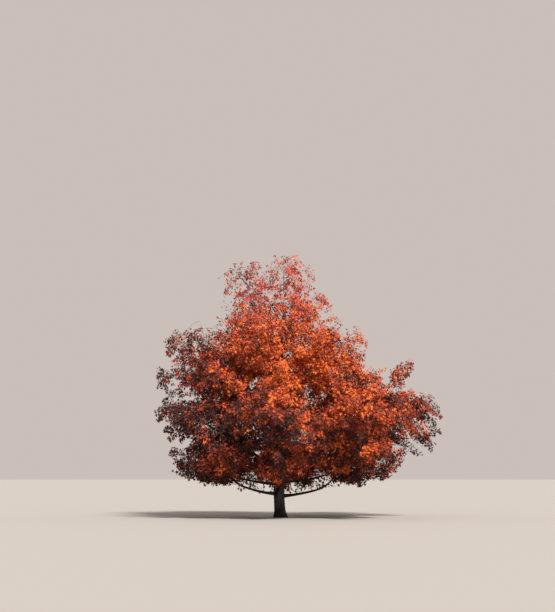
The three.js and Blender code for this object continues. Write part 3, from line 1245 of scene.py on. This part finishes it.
@dataclass(frozen=True)
class Leafing:
    """How leaves stand on a shoot, how large they are and how they face.

    They face out of the space, away from the trunk and up, by the three parts of their facing.
    """

    length: float = 0.1
    range: tuple[float, float] = (0.72, 1.16)
    smaller: tuple[float, float] = (5.0, 7.4)
    smaller_by: float = 0.14
    stalk: tuple[float, float] = (0.025, 0.055)
    spacing: float = 0.085
    most_pairs: int = 3
    first_pair: float = 0.75
    end_room: float = 0.35
    spread: float = 58.0
    spread_stray: float = 16.0
    end_spread: float = 25.0
    facing: tuple[float, float, float] = (0.9, 0.2, 0.7)
    stray: float = 0.85
    hang: float = 0.4

    def place(self, shoots: Arcs, space: Space, draws: np.random.Generator) -> tuple[Array, ...]:
        """Sets leaves in opposite pairs along shoots, and one at each end.

        Args:
            shoots: The shoots that bear them.
            space: The space, whose way out they face.
            draws: Seeded random numbers.

        Returns:
            Each leaf's node, blade's base, way ahead, face and size, and its shoot's number.
        """
        count = len(shoots.foot)
        pairs = np.clip(np.round(shoots.lengths() / self.spacing), 1, self.most_pairs).astype(int)
        owner = np.repeat(np.arange(count), pairs)
        rank = np.arange(len(owner)) - np.repeat(np.cumsum(pairs) - pairs, pairs)
        share = (rank + self.first_pair) / (pairs[owner] + self.end_room)
        spin = draws.uniform(0, math.pi, count)[owner] + rank * math.pi / 2
        owner, share, spin = (np.repeat(values, 2) for values in (owner, share, spin))
        spin = spin + np.tile((0, math.pi), len(owner) // 2)
        spread = self.spread + draws.uniform(-1, 1, len(owner)) * self.spread_stray
        owner = np.concatenate((owner, np.arange(count)))
        share = np.concatenate((share, np.ones(count)))
        spin = np.concatenate((spin, draws.uniform(0, 2 * math.pi, count)))
        spread = np.concatenate((spread, draws.uniform(0, self.end_spread, count)))
        spread = np.radians(spread)[:, None]
        borne = shoots.pick(owner)
        node, onward = borne.at(share), borne.way(share)
        across, over = frame_of(onward)
        side = across * np.cos(spin)[:, None] + over * np.sin(spin)[:, None]
        stalk = unit(onward * np.cos(spread) + side * np.sin(spread))
        base = node + stalk * draws.uniform(*self.stalk, len(owner))[:, None]
        away = unit(node * np.array((1.0, 1.0, 0.0)))
        out, level, upward = self.facing
        normal = space.outward(node) * out + away * level + UP * upward
        normal = unit(normal + draws.normal(0, self.stray, (len(owner), 3)))
        ahead = stalk - UP * self.hang
        ahead = unit(ahead - normal * (ahead * normal).sum(-1, keepdims=True))
        smaller = self.smaller_by * ramp(node[:, 2], *self.smaller)
        size = self.length * (1 - smaller) * draws.uniform(*self.range, len(owner))
        return node, base, ahead, normal, size, owner


@dataclass(frozen=True)
class Patch:
    """A part of the crown, seen from the front, where the leaves are brighter or duller."""

    x: float
    z: float
    width: float
    height: float
    strength: float

    def at(self, x: Array, z: Array) -> Array:
        """What it adds to the warmth at each place, fading out from its middle."""
        aside, above = (x - self.x) / self.width, (z - self.z) / self.height
        return self.strength * np.exp(-(aside**2) - above**2)


@dataclass(frozen=True)
class TintRule:
    """How the autumn colours lie in the crown: bright on the right, dull on the left and below. Part of
    this is the leaves' own tint and part is painted light: painted sunlight on the right, where the key
    light falls, and painted shade on the left and below, which fades towards the back.

    Pairs of numbers say where a thing begins and where it is full. The leaves' tint, light and shade are
    summed in one number, which is brightest at one.
    """

    PLAIN = 6

    # Brightest right of the middle and falling off to either side: the leaves' own tints, with painted
    # sunlight on the right and painted shade on the left.
    brightest: float = 0.87
    brightest_x: float = 0.6
    fall_left: float = 0.165
    fall_right: float = 0.08
    # Painted shade on the lower crown: leaves darken by this much per metre below this height, less at the
    # back.
    lower_shade_from: float = 4.8
    lower_shade_rate: float = 0.12
    # Painted shadow in the hollow at the front middle of the lower crown.
    recess_shade: Patch = Patch(0.0, 2.75, 1.4, 0.85, -0.36)
    # Painted sunlight on the sprays at the lower left.
    painted_sunlight: Patch = Patch(-1.7, 1.85, 1.2, 0.4, 0.34)
    shoulder: Patch = Patch(-2.9, 5.8, 0.9, 1.0, -0.06)
    breast: Patch = Patch(-1.1, 6.1, 0.8, 0.9, 0.14)
    wider: tuple[float, float] = (3.9, 1.9)
    # Painted shade on the crown's underside: more darkening per metre below this height.
    underside_shade_from: float = 1.6
    underside_shade_rate: float = 0.7
    # Painted shade on the left and on the lower crown fades out towards the back, from the first y to the
    # second.
    behind: tuple[float, float] = (0.0, 2.5)
    less_shade_behind: float = 0.6
    crimson: tuple[float, float] = (5.9, 8.0)
    crimson_share: float = 0.8
    crimson_steps: float = 3.4
    spray_stray: float = 0.15
    shoot_stray: float = 0.2

    def deal(self, spots: Array, sprays: Marks, draws: np.random.Generator) -> Marks:
        """Deals a tint to each shoot, with painted light and shade in the choice.

        Args:
            spots: Where the shoots are.
            sprays: The number of the spray that each belongs to.
            draws: Seeded random numbers.

        Returns:
            The number of each shoot's tint.
        """
        x, y, z = spots.T
        # How much of the painted shade on the left and below is kept: all at the front, less behind.
        ahead = 1 - self.less_shade_behind * ramp(y, *self.behind)
        lot = draws.normal(0, self.spray_stray, int(sprays.max()) + 1)[sprays]
        lot *= 1 + ramp(z, *self.wider)
        aside = x - self.brightest_x
        # Painted light: brighter right of the middle, with painted shade falling off to the left; the spray
        # and shoot draws are the leaves' own varied tints.
        warmth_and_shade = self.brightest + ahead * self.fall_left * np.minimum(aside, 0)
        warmth_and_shade -= self.fall_right * np.maximum(aside, 0)
        warmth_and_shade += lot
        warmth_and_shade += draws.normal(0, self.shoot_stray, len(x))
        # Painted shade, deepening down the lower crown.
        warmth_and_shade -= ahead * self.lower_shade_rate * np.maximum(0, self.lower_shade_from - z)
        # Painted shade on the underside.
        warmth_and_shade -= self.underside_shade_rate * np.maximum(0, self.underside_shade_from - z)
        # Painted shadow in the front hollow, painted sunlight on the low left sprays, and two small duller
        # and brighter patches up on the left.
        for patch in (self.recess_shade, self.painted_sunlight, self.shoulder, self.breast):
            warmth_and_shade += patch.at(x, z)
        turned = draws.uniform(0, 1, len(x)) < ramp(z, *self.crimson) * self.crimson_share
        plain = np.floor(warmth_and_shade * self.PLAIN).clip(0, self.PLAIN - 1)
        crimson = np.floor(warmth_and_shade * self.crimson_steps).clip(0, len(Tint) - self.PLAIN - 1)
        return np.where(turned, self.PLAIN + crimson, plain).astype(int)


@dataclass(frozen=True)
class Fullness:
    """Where the crown is thin: in the top, before the leader, below and over the left shoulder.

    Pairs of numbers say where a thing begins and where it is full. The top is thinned by the first
    share on its right, and by the second on its left.
    """

    high: tuple[float, float] = (5.6, 7.0)
    left: tuple[float, float] = (0.8, -1.7)
    thinned_high: tuple[float, float] = (0.52, 0.72)
    low: tuple[float, float] = (1.2, 0.8)
    thinned_low: float = 0.75
    leader_x: float = 0.05
    leader_width: float = 0.22
    thinned_before: float = 0.85
    beside: tuple[float, float] = (-1.75, -2.15)
    shoulder: tuple[float, float] = (6.25, 6.55)

    def at(self, spots: Array) -> Array:
        """Works out how much of the growth is kept.

        Args:
            spots: Rows of points.

        Returns:
            A share for each: none over the left shoulder, where the crown steps in.
        """
        x, y, z = spots.T
        high = ramp(z, *self.high)
        thinned = high * mix(*self.thinned_high, ramp(x, *self.left))
        thinned += self.thinned_low * ramp(z, *self.low)
        before = np.exp(-(((x - self.leader_x) / self.leader_width) ** 2)) * (y < 0) * high
        above = ramp(x, *self.beside) * ramp(z, *self.shoulder)
        return (1 - thinned) * (1 - self.thinned_before * before) * (1 - above)


class WoodMesh(Enum):
    """The sides and rings of each kind of wood in a mass, and its age."""

    STEM = (8, 10, Wood.OLD)
    TWIG = (6, 4, Wood.OLD)
    LEADER = (4, 3, Wood.OLD)
    SHOOT = (3, 1, Wood.YOUNG)


Grown = tuple[Array, Array, float, list[BladePlace]]


@dataclass
class Mass:
    """A mass of foliage: its place by the source's rule, and what grows there.

    Its bough leaves the trunk at the height of its foot, or its parent bough at a share of the way
    along. Launch and tilt are in degrees, and the girth is the bough's radius.
    """

    TWIG_ARCH = 0.06
    LEADERS = ((0.0, 1.0), (52.0, 0.92), (-52.0, 0.92))
    LEADER_REACH = (0.6, 1.05)
    LEADER_LIFT = (-0.15, 0.5)
    LEADER_PULL = 2
    LEADER_GIRTH = 0.85
    LEADER_TAPER = 0.35
    LEAFY_TIP = (0.8, 0.9)
    ONWARD_SPAN = (-0.1, 0.38)
    ONWARD_LEAST = 0.15
    ONWARD_LIFT = 0.2
    ALONG_STEM = Shooting(
        first=0.04,
        last=0.9,
        spacing=0.24,
        spread=(100, 60),
        length=(1.2, 0.7),
        shortest=0.15,
        margin=0.04,
        droop=-0.04,
        taper=(0.3, 0.14),
    )
    ALONG_TWIG = Shooting(
        first=0.15,
        last=0.95,
        spacing=0.13,
        spread=(70, 50),
        length=(0.34, 0.26),
        shortest=0.06,
        margin=0.04,
        droop=0.05,
        taper=(0.34, 0.16),
    )
    ALONG_LEADER = Shooting(
        first=0.12,
        last=0.97,
        spacing=0.105,
        spread=(56, 34),
        length=(0.25, 0.1),
        shortest=0.04,
        margin=-0.12,
        droop=0.0,
        taper=(0.5, 0.25),
    )
    ROUND_FOOT = Shooting(
        first=0.02,
        last=0.35,
        spacing=0.25,
        spread=(140, 105),
        length=(1.1, 0.8),
        shortest=0.15,
        margin=-0.3,
        droop=0.1,
        taper=(0.26, 0.12),
    )
    SPURS = Shooting(
        first=0.0,
        last=1.0,
        spacing=0.12,
        spread=(78, 78),
        length=(0.34, 0.34),
        shortest=0.1,
        margin=0.0,
        droop=-0.05,
        taper=(0.07, 0.04),
        free=True,
    )
    SPURS_FROM = 0.2
    SPUR_PIECES = 8
    SPUR_LOOSENESS = 4.0
    SPURS_ABOVE = 0.88
    UNDERSIDE = 1.5
    CLUMPS_PER_METRE = 3.0
    CLUMP_EDGE = -0.36
    CLUMP_STRAY = 0.1
    LOOSENESS = (0.9, 1.14)
    INWARD = 0.5
    LEAFING = Leafing()
    LEAF = LeafShape()
    TINTS = TintRule()
    FULLNESS = Fullness()

    name: str
    centre: Array
    halves: Array
    pairs: int
    foot: float = 0.0
    launch: float = 0.0
    girth: float = 0.0
    parent: str = ""
    share: float = 0.0
    tilt: float = 0.0
    limb: Bough | None = field(init=False, default=None)
    space: Space = field(init=False)
    stem_start: Array = field(init=False)
    stem_way: Array = field(init=False)
    stem_girth: float = field(init=False)

    def __post_init__(self) -> None:
        """Places the mass's space."""
        azimuth = math.atan2(self.centre[1], self.centre[0])
        self.space = Space(self.centre, self.halves, azimuth, math.radians(self.tilt))

    def bough(self, start: Array, seat: float, draws: Draws) -> Bough:
        """The bough that heads for the middle of the mass and ends where it enters it.

        Args:
            start: Where it leaves its parent's middle line.
            seat: How far it runs inside its parent.
            draws: The tree's row of numbers.

        Returns:
            The bough.
        """
        towards = self.centre - start
        launch = heading(math.atan2(towards[1], towards[0]), math.radians(self.launch))
        bend = start + launch * np.linalg.norm(towards) * BOUGH.bend
        back = unit(bend - self.centre)
        edge = self.space.extent(back)
        share, step = BOUGH.entry
        while True:
            tip = self.centre + back * edge * share
            share -= step
            if share <= step or self.space.holds(tip[None], BOUGH.tip_depth)[0]:
                break
        phase = 2 * math.pi * draws.next()
        return Bough(self.name, start, bend, tip, phase, self.girth, seat)

    def stem(self) -> Arcs:
        """Runs the stem on from the bough's tip through the middle of the space.

        Returns:
            Its arc.
        """
        heart = self.stem_start
        aim = unit(self.stem_way + UP * TWIG.lift)
        length = float(self.space.room(heart[None], aim[None])[0]) * TWIG.share
        bend = heart + self.stem_way * length / 2
        girth = np.array((self.stem_girth,))
        return Arcs(heart[None], bend[None], (heart + aim * length)[None], girth, girth * TWIG.tip_share)

    def blade_at(self, seat: Array, way: Array, reach: float, stray: Array, turn: float) -> BladePlace:
        """The source's place for a blade.

        Args:
            seat: Where the twig meets it.
            way: The twig's direction.
            reach: From hub to tip.
            stray: What is added to the way it faces.
            turn: How far its tip turns aside, in radians.

        Returns:
            The place.
        """
        out, away, upward = BLADE.facing
        level = unit(seat * np.array((1.0, 1.0, 0.0)))
        normal = unit(self.space.outward(seat) * out + level * away + UP * upward + stray)
        ahead = way - normal * (way @ normal)
        if np.linalg.norm(ahead) < BLADE.levelled:
            ahead = normal * normal[2] - UP
        ahead = unit(ahead)
        ahead = ahead * math.cos(turn) + np.cross(normal, ahead) * math.sin(turn)
        degrees, off = BLADE.seat
        place = BladePlace(seat, ahead, normal, reach)
        return BladePlace(place.point(degrees + 180, off, 0), ahead, normal, reach)

    def blades(
        self, base: Array, way: Array, limbs: Limbs, draws: Draws
    ) -> tuple[float, list[BladePlace]]:
        """Fits one twig of the source's rule.

        Args:
            base: Where it leaves the stem.
            way: Its direction.
            limbs: What it keeps clear of.
            draws: The mass's row of numbers.

        Returns:
            The twig's length, and the places of its blades: none where it has no room.
        """
        reach = BLADE.size * self.space.mean_half * mix(*BLADE.range, draws.next())
        stray = heading(2 * math.pi * draws.next(), 0)
        stray = stray * BLADE.stray * draws.next()
        turns = (BLADE.turn * (draws.next() - 0.5), 2 * math.pi * draws.next())

        def fitted(length: float, turn: float) -> BladePlace | None:
            """The blade's place at a length along the twig, and nothing where it doesn't fit."""
            place = self.blade_at(base + way * length, way, reach, stray, turn)
            return place if self._fits(place.rim(), limbs) else None

        length = float(self.space.room(base[None], way[None])[0]) * TWIG.reach
        while length > reach * TWIG.shortest:
            end = fitted(length, turns[0])
            if end:
                midway = fitted(length / 2, turns[1]) if length > 2 * BLADE.apart * reach else None
                return length, [end, midway] if midway else [end]
            length -= reach * TWIG.trim
        return 0.0, []

    def _fits(self, rim: Array, limbs: Limbs) -> bool:
        """True where a rim keeps to the space and clear of the limbs."""
        return bool(self.space.holds(rim).all() and limbs.clear(rim).all())

    def twigs(self, limbs: Limbs, draws: Draws, loose: np.random.Generator) -> tuple[Arcs, Arcs]:
        """The twigs of the source's rule, and the leaders that take the places of their blades.

        Args:
            limbs: What they keep clear of.
            draws: The mass's row of numbers.
            loose: Seeded random numbers for what the source doesn't have.

        Returns:
            The twigs, and the leaders.
        """
        stem = self.stem()
        spin = TWIG.turn_stray * draws.next()
        places = [(stem.at(np.array((TWIG.end_twig,)))[0], stem.way(np.array((1.0,)))[0])]
        fits = [self.blades(*places[0], limbs, draws)]
        for pair in range(self.pairs):
            along = pair / (self.pairs - 1)
            share = np.array((mix(*TWIG.pairs, along),))
            base, onward = stem.at(share)[0], stem.way(share)[0]
            across, over = frame_of(onward)
            for hand in (0, 1):
                turn = spin + pair * math.pi / 2 + hand * math.pi
                turn += TWIG.turn_stray * (draws.next() - 0.5)
                spread = mix(*TWIG.spread, along) + TWIG.spread_stray * (draws.next() - 0.5)
                spread = math.radians(spread)
                side = across * math.cos(turn) + over * math.sin(turn)
                way = onward * math.cos(spread) + side * math.sin(spread)
                places.append((base, way))
                fits.append(self.blades(base, way, limbs, draws))
        grown = [(*place, *fit) for place, fit in zip(places, fits) if fit[1]]
        return self._twig_arcs(grown), self._leader_arcs(grown, loose)

    def _spurs(self, draws: np.random.Generator) -> Arcs:
        """Grows leafy spurs on the outer part of the mass's bough.

        Args:
            draws: Seeded random numbers.

        Returns:
            An arc for each, and none where the mass has no bough.
        """
        shares = np.linspace(self.SPURS_FROM, 1, self.SPUR_PIECES + 1)
        points = self.limb.line(shares) if self.limb else np.zeros((1, 3))
        radii = np.array([self.limb.radius(float(share)) for share in shares] if self.limb else (0.0,))
        pieces = Arcs(points[:-1], (points[:-1] + points[1:]) / 2, points[1:], radii[:-1], radii[1:])
        spurs, _ = self.SPURS.grow(pieces, self.space, draws)
        return spurs.pick(spurs.end[:, 2] > self.SPURS_ABOVE)

    def _twig_arcs(self, grown: list[Grown]) -> Arcs:
        """Makes the twigs arcs that arch a little under their leaves.

        Args:
            grown: Base, way, length and blades of each twig.

        Returns:
            An arc for each.
        """
        base = np.array([row[0] for row in grown])
        end = np.array([row[0] + row[1] * row[2] for row in grown])
        length = np.array([row[2] for row in grown])[:, None]
        middle = (base + end) / 2 + UP * self.TWIG_ARCH * length
        thick, thin = (np.full(len(grown), self.stem_girth * share) for share in TWIG.radius)
        return Arcs(base, middle, end, thick, thin)

    def _leader_arcs(self, grown: list[Grown], loose: np.random.Generator) -> Arcs:
        """Runs leaders from each twig to the lobes of its blades, and one onward.

        Args:
            grown: Base, way, length and blades of each twig.
            loose: Seeded random numbers.

        Returns:
            An arc for each.
        """
        starts, bends, ends = [], [], []
        for base, way, length, blades in grown:
            for order, blade in enumerate(blades):
                seat = base + way * (length / (order + 1))
                tips = []
                for degrees, out in self.LEADERS:
                    out *= loose.uniform(*self.LEADER_REACH)
                    tips.append(blade.point(degrees, out, out * loose.uniform(*self.LEADER_LIFT)))
                if not order:
                    room = float(self.space.room(seat[None], way[None])[0])
                    span = max(self.ONWARD_LEAST, room + loose.uniform(*self.ONWARD_SPAN))
                    tips.append(seat + unit(way + UP * self.ONWARD_LIFT) * span)
                for end in tips:
                    launch = unit(unit(end - seat) * self.LEADER_PULL + way)
                    starts.append(seat)
                    bends.append(seat + launch * lengths(end - seat) / 2)
                    ends.append(end)
        girth = np.full(len(starts), self.stem_girth * TWIG.radius[1] * self.LEADER_GIRTH)
        return Arcs(np.array(starts), np.array(bends), np.array(ends), girth, girth * self.LEADER_TAPER)

    def dress(
        self, limbs: Limbs, limits: Limits, number: int, leaves: Finishes, woods: Finishes
    ) -> tuple[Object, Object]:
        """Grows the mass's wood and leaves.

        Args:
            limbs: The trunk and boughs, which they keep clear of.
            limits: How far anything on the tree may reach.
            number: The mass's number in the tree, which seeds it.
            leaves: The leaves' materials.
            woods: The wood's materials.

        Returns:
            The piece of twigs and the piece of leaves, which both stand for the mass's node.
        """
        near = limbs.near(self.space)
        draws = np.random.default_rng(FIRST_SEED + number)
        twigs, leaders = self.twigs(near, Draws(FIRST_SEED + number), draws)
        leaders = leaders.pick(limits.hold(leaders.end) & (self.FULLNESS.at(leaders.end) > 0))
        between, _ = self.ALONG_STEM.grow(self.stem(), self.space, draws)
        inner, _ = self.ROUND_FOOT.grow(self.stem(), self.space, draws)
        inward = lengths(inner.end[:, :2]) < lengths(self.centre[:2])
        inner = inner.pick(inward & (inner.end[:, 2] > self.UNDERSIDE))
        twigs = Arcs.joined([twigs, between, inner])
        low, of_twig = self.ALONG_TWIG.grow(twigs, self.space, draws)
        high, of_leader = self.ALONG_LEADER.grow(leaders, self.space, draws)
        spurs = self._spurs(draws)
        shoots = Arcs.joined([low, high, spurs])
        first, borne = len(twigs.foot), len(twigs.foot) + len(leaders.foot)
        sprays = np.concatenate((of_twig, first + of_leader, borne + np.arange(len(spurs.foot))))
        kept = self._kept(shoots.end, draws) & limits.hold(shoots.end)
        shoots, sprays = shoots.pick(kept), sprays[kept]
        last = (leaders.at(np.full(borne - first, share)) for share in self.LEAFY_TIP)
        bearing = Arcs.joined([shoots, Arcs(*last, leaders.end, leaders.tip, leaders.tip)])
        sprays = np.concatenate((sprays, np.arange(first, borne)))
        tints = self.TINTS.deal(bearing.at(np.full(len(sprays), 0.5)), sprays, draws)
        looseness = draws.uniform(*self.LOOSENESS, borne)
        looseness[first:] = np.maximum(looseness[first:], self.space.depth(leaders.end))
        looseness = np.append(looseness, np.full(len(spurs.foot), self.SPUR_LOOSENESS))
        wood = self._wood(twigs, leaders, shoots, woods)
        return wood, self._leaves(bearing, tints, looseness[sprays], near, limits, leaves, draws)

    def _kept(self, spots: Array, draws: np.random.Generator) -> Flags:
        """Thins the shoots and leaves them out between clumps.

        Args:
            spots: Where the shoots end.
            draws: Seeded random numbers.

        Returns:
            True for each that is kept.
        """
        kept = self.FULLNESS.at(spots) > draws.uniform(0, 1, len(spots))
        clumps = np.array([noise.noise(Vector(spot * self.CLUMPS_PER_METRE)) for spot in spots])
        return kept & (clumps > self.CLUMP_EDGE + draws.normal(0, self.CLUMP_STRAY, len(spots)))

    def _wood(self, twigs: Arcs, leaders: Arcs, shoots: Arcs, woods: Finishes) -> Object:
        """Joins the mass's stem, twigs, leaders and shoots into one piece.

        Args:
            twigs: The twigs.
            leaders: The leaders.
            shoots: The leafy shoots.
            woods: The wood's materials.

        Returns:
            The piece.
        """
        gathered = Joined()
        for arcs, mesh in zip((self.stem(), twigs, leaders, shoots), WoodMesh):
            sides, rings, age = mesh.value
            marks = np.full(len(arcs.foot), list(Wood).index(age))
            gathered.add(TubeMaker.corners(arcs, sides, rings), TubeMaker.faces(sides, rings), marks)
        return self._piece(gathered.piece(f"twigs_{self.name}", woods, True))

    def _leaves(
        self,
        bearing: Arcs,
        tints: Marks,
        looseness: Array,
        limbs: Limbs,
        limits: Limits,
        finishes: Finishes,
        draws: np.random.Generator,
    ) -> Object:
        """Joins the mass's leaves into one piece.

        Args:
            bearing: The shoots that bear leaves.
            tints: The tint of each shoot.
            looseness: How far out of the space each shoot may bear leaves.
            limbs: What leaves keep clear of.
            limits: How far anything on the tree may reach.
            finishes: The leaves' materials.
            draws: Seeded random numbers.

        Returns:
            The piece.
        """
        node, base, ahead, normal, size, owner = self.LEAFING.place(bearing, self.space, draws)
        middle = base + ahead * size[:, None] / 2
        end = base + ahead * size[:, None]
        inner = ramp(lengths(end[:, :2]), lengths(self.centre[:2]), 0)
        fits = self.space.loosely_holds(end, looseness[owner] + self.INWARD * inner)
        fits &= limits.hold(end) & limbs.clear(middle) & limbs.clear(end)
        corners = self.LEAF.corners(*(values[fits] for values in (node, base, ahead, normal, size)))
        gathered = Joined()
        gathered.add(corners, self.LEAF.faces(), tints[owner[fits]])
        log.info("%s: %d leaves", self.name, int(fits.sum()))
        return self._piece(gathered.piece(f"leaves_{self.name}", finishes, False))

    def _piece(self, made: Object) -> Object:
        """Lets a piece ride on the tree and stand for the mass's node.

        Args:
            made: The piece.

        Returns:
            The piece.
        """
        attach(made, BODY)
        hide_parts(f"foliage_{self.name}")
        return made


class Tree:
    """The whole tree: the source's skeleton, and what dresses it."""

    def __init__(self) -> None:
        """Lays out masses and boughs in the source's order of draws."""
        draws = Draws(FIRST_SEED)
        self.masses = [mass for ring in RINGS for mass in self._ring_masses(ring, draws)]
        self.masses += self._tufts()
        for mass in self.masses:
            for other in self.masses:
                if other is not mass:
                    mass.space.part_from(other.space)
        self.boughs: dict[str, Bough] = {}
        self.limbs = Limbs()
        self.limbs.add(TRUNK.line, TRUNK.radius, TRUNK.height)
        for mass in self.masses:
            self._join(mass, draws)

    @staticmethod
    def _ring_masses(ring: Ring, draws: Draws) -> list[Mass]:
        """A ring's masses, spread round the trunk and each a little different.

        Args:
            ring: The ring.
            draws: The tree's row of numbers.

        Returns:
            The masses.
        """
        made = []
        for place in range(ring.count):
            stray = BOUGH.turn_variety * (draws.stray(BOUGH.variety) - 1)
            azimuth = math.radians(ring.turn + 360 / ring.count * place + stray)
            reach = ring.reach * draws.stray(BOUGH.variety)
            height = ring.height + ring.halves[2] * 2 * (draws.stray(BOUGH.variety) - 1)
            centre = np.array((ring.shift + reach * math.cos(azimuth), reach * math.sin(azimuth), height))
            halves = np.array([half * draws.stray(BOUGH.variety) for half in ring.halves])
            foot = mix(*ring.feet, place * BOUGH.stagger % 1)
            name = f"{ring.name}_{place + 1}"
            made.append(Mass(name, centre, halves, ring.pairs, foot, ring.launch, ring.girth))
        return made

    @staticmethod
    def _tufts() -> list[Mass]:
        """Places the crown's two tips and the tuft that leans out of its right slope.

        Returns:
            The three masses.
        """
        return [
            Mass(
                "top",
                centre=np.array((0.35, 0, 8.0)),
                halves=np.array((0.82, 0.9, 1.0)),
                pairs=6,
            ),
            Mass(
                "side_tip",
                centre=np.array((-1.1, 0.06, 7.95)),
                halves=np.array((0.9, 0.8, 0.96)),
                pairs=5,
                foot=6.65,
                launch=62,
                girth=0.02,
            ),
            Mass(
                "right_tuft",
                centre=np.array((4.11, -0.25, 4.83)),
                halves=np.array((0.29, 0.34, 0.72)),
                pairs=5,
                launch=40,
                girth=0.026,
                parent="broad_1",
                share=0.55,
                tilt=42,
            ),
        ]

    def _join(self, mass: Mass, draws: Draws) -> None:
        """Gives a mass its bough, or the trunk's tip, and the start of its stem.

        Args:
            mass: The mass.
            draws: The tree's row of numbers.
        """
        ends = np.array((1 - MATCH, 1.0))
        if not mass.girth:
            points = TRUNK.line(ends)
            points[0] = points[1] - UP
            mass.stem_girth = TRUNK.shaft_radius(TRUNK.height)
        else:
            start, seat = TRUNK.line(mass.foot / TRUNK.height)[0], TRUNK.shaft_radius(mass.foot)
            if mass.parent:
                start, seat = self.boughs[mass.parent].line(mass.share)[0], mass.girth
            bough = mass.bough(start, seat, draws)
            self.boughs[mass.name] = mass.limb = bough
            self.limbs.add(bough.line, bough.radius, bough.length)
            points = bough.line(ends)
            mass.stem_girth = mass.girth * BOUGH.tip_share
        mass.stem_start, mass.stem_way = points[1], unit(points[1] - points[0])

    def dress(self, limits: Limits) -> None:
        """Makes every piece of the tree.

        Args:
            limits: How far the foliage may reach.
        """
        leaves = [tint.value.material() for tint in Tint]
        woods = [wood.value.material() for wood in Wood]
        barks = {bark: bark.value.material() for bark in Bark}
        report(TRUNK.dress(barks[Bark.TRUNK]))
        for bough in self.boughs.values():
            report(bough.dress(barks[Bark.BOUGH]))
        for number, mass in enumerate(self.masses):
            for piece in mass.dress(self.limbs, limits, number, leaves, woods):
                report(piece)


def report(piece: Object) -> None:
    """Tells a piece's name and how many faces it has."""
    log.info("%s: %d faces", piece.name, len(piece.data.polygons))


@dataclass(frozen=True)
class Studio:
    """A pale floor, soft light from the front right, and the photograph's view."""

    FLOOR_SIDES = 96

    frame: tuple[int, int] = (555, 612)
    foot_pixel: tuple[float, float] = (280, 516)
    metres_per_pixel: float = 0.03475
    distance: float = 60.0
    eye_height: float = 1.6
    sensor: float = 36.0
    floor_radius: float = 260.0
    floor_colour: Colour = (0.36, 0.345, 0.33)
    air_colour: Colour = (0.62, 0.55, 0.51)
    air_strength: float = 0.95
    sun_strength: float = 6.2
    sun_angle: float = 9.0
    sun_from: tuple[float, float] = (-68.0, 42.0)
    sun_colour: Colour = (1.0, 0.94, 0.86)

    def build(self) -> None:
        """Makes floor, air, sun and camera."""
        self._floor()
        self._air()
        self._sun()
        self._camera()
        bpy.context.scene.view_settings.view_transform = "Standard"

    def _floor(self) -> None:
        """Makes the floor, a flat disc at ground level."""
        shape = bmesh.new()
        radius, sides = self.floor_radius, self.FLOOR_SIDES
        bmesh.ops.create_circle(shape, cap_ends=True, segments=sides, radius=radius)
        mesh = bpy.data.meshes.new("floor")
        shape.to_mesh(mesh)
        shape.free()
        mesh.materials.append(PlainFinish("floor", self.floor_colour).material())
        floor = placed("floor", mesh)
        floor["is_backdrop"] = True

    def _air(self) -> None:
        """Lights the scene evenly from all round."""
        world = bpy.data.worlds.new("air")
        world.use_nodes = True
        shader = world.node_tree.nodes["Background"]
        shader.inputs["Color"].default_value = (*self.air_colour, 1)
        shader.inputs["Strength"].default_value = self.air_strength
        bpy.context.scene.world = world

    def _sun(self) -> None:
        """Sets the broad light at the front right."""
        light = bpy.data.lights.new("key", "SUN")
        light.energy = self.sun_strength
        light.angle = math.radians(self.sun_angle)
        light.color = self.sun_colour
        sun = placed("key", light)
        azimuth, elevation = (math.radians(value) for value in self.sun_from)
        towards = Vector(heading(azimuth, elevation))
        sun.rotation_euler = towards.to_track_quat("Z", "Y").to_euler()

    def _camera(self) -> None:
        """Sets the camera so that the trunk's foot falls where the photograph has it."""
        width, height = self.frame
        column, row = self.foot_pixel
        scale = self.metres_per_pixel
        aim = Vector(((width / 2 - column) * scale, 0, (row - height / 2) * scale))
        data = bpy.data.cameras.new("camera")
        camera = placed("camera", data)
        camera.location = (aim.x, -self.distance, self.eye_height)
        view = camera.location - aim
        camera.rotation_euler = view.to_track_quat("Z", "Y").to_euler()
        data.sensor_width = self.sensor
        data.lens = self.sensor * view.length / (height * scale)
        data.clip_end = 2 * self.floor_radius
        bpy.context.scene.camera = camera


def main() -> None:
    """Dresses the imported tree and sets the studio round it."""
    logging.basicConfig(level=logging.INFO, format="%(message)s")
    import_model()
    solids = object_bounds()
    Studio().build()
    Tree().dress(Limits.around(solids))


if __name__ == "__main__":
    main()
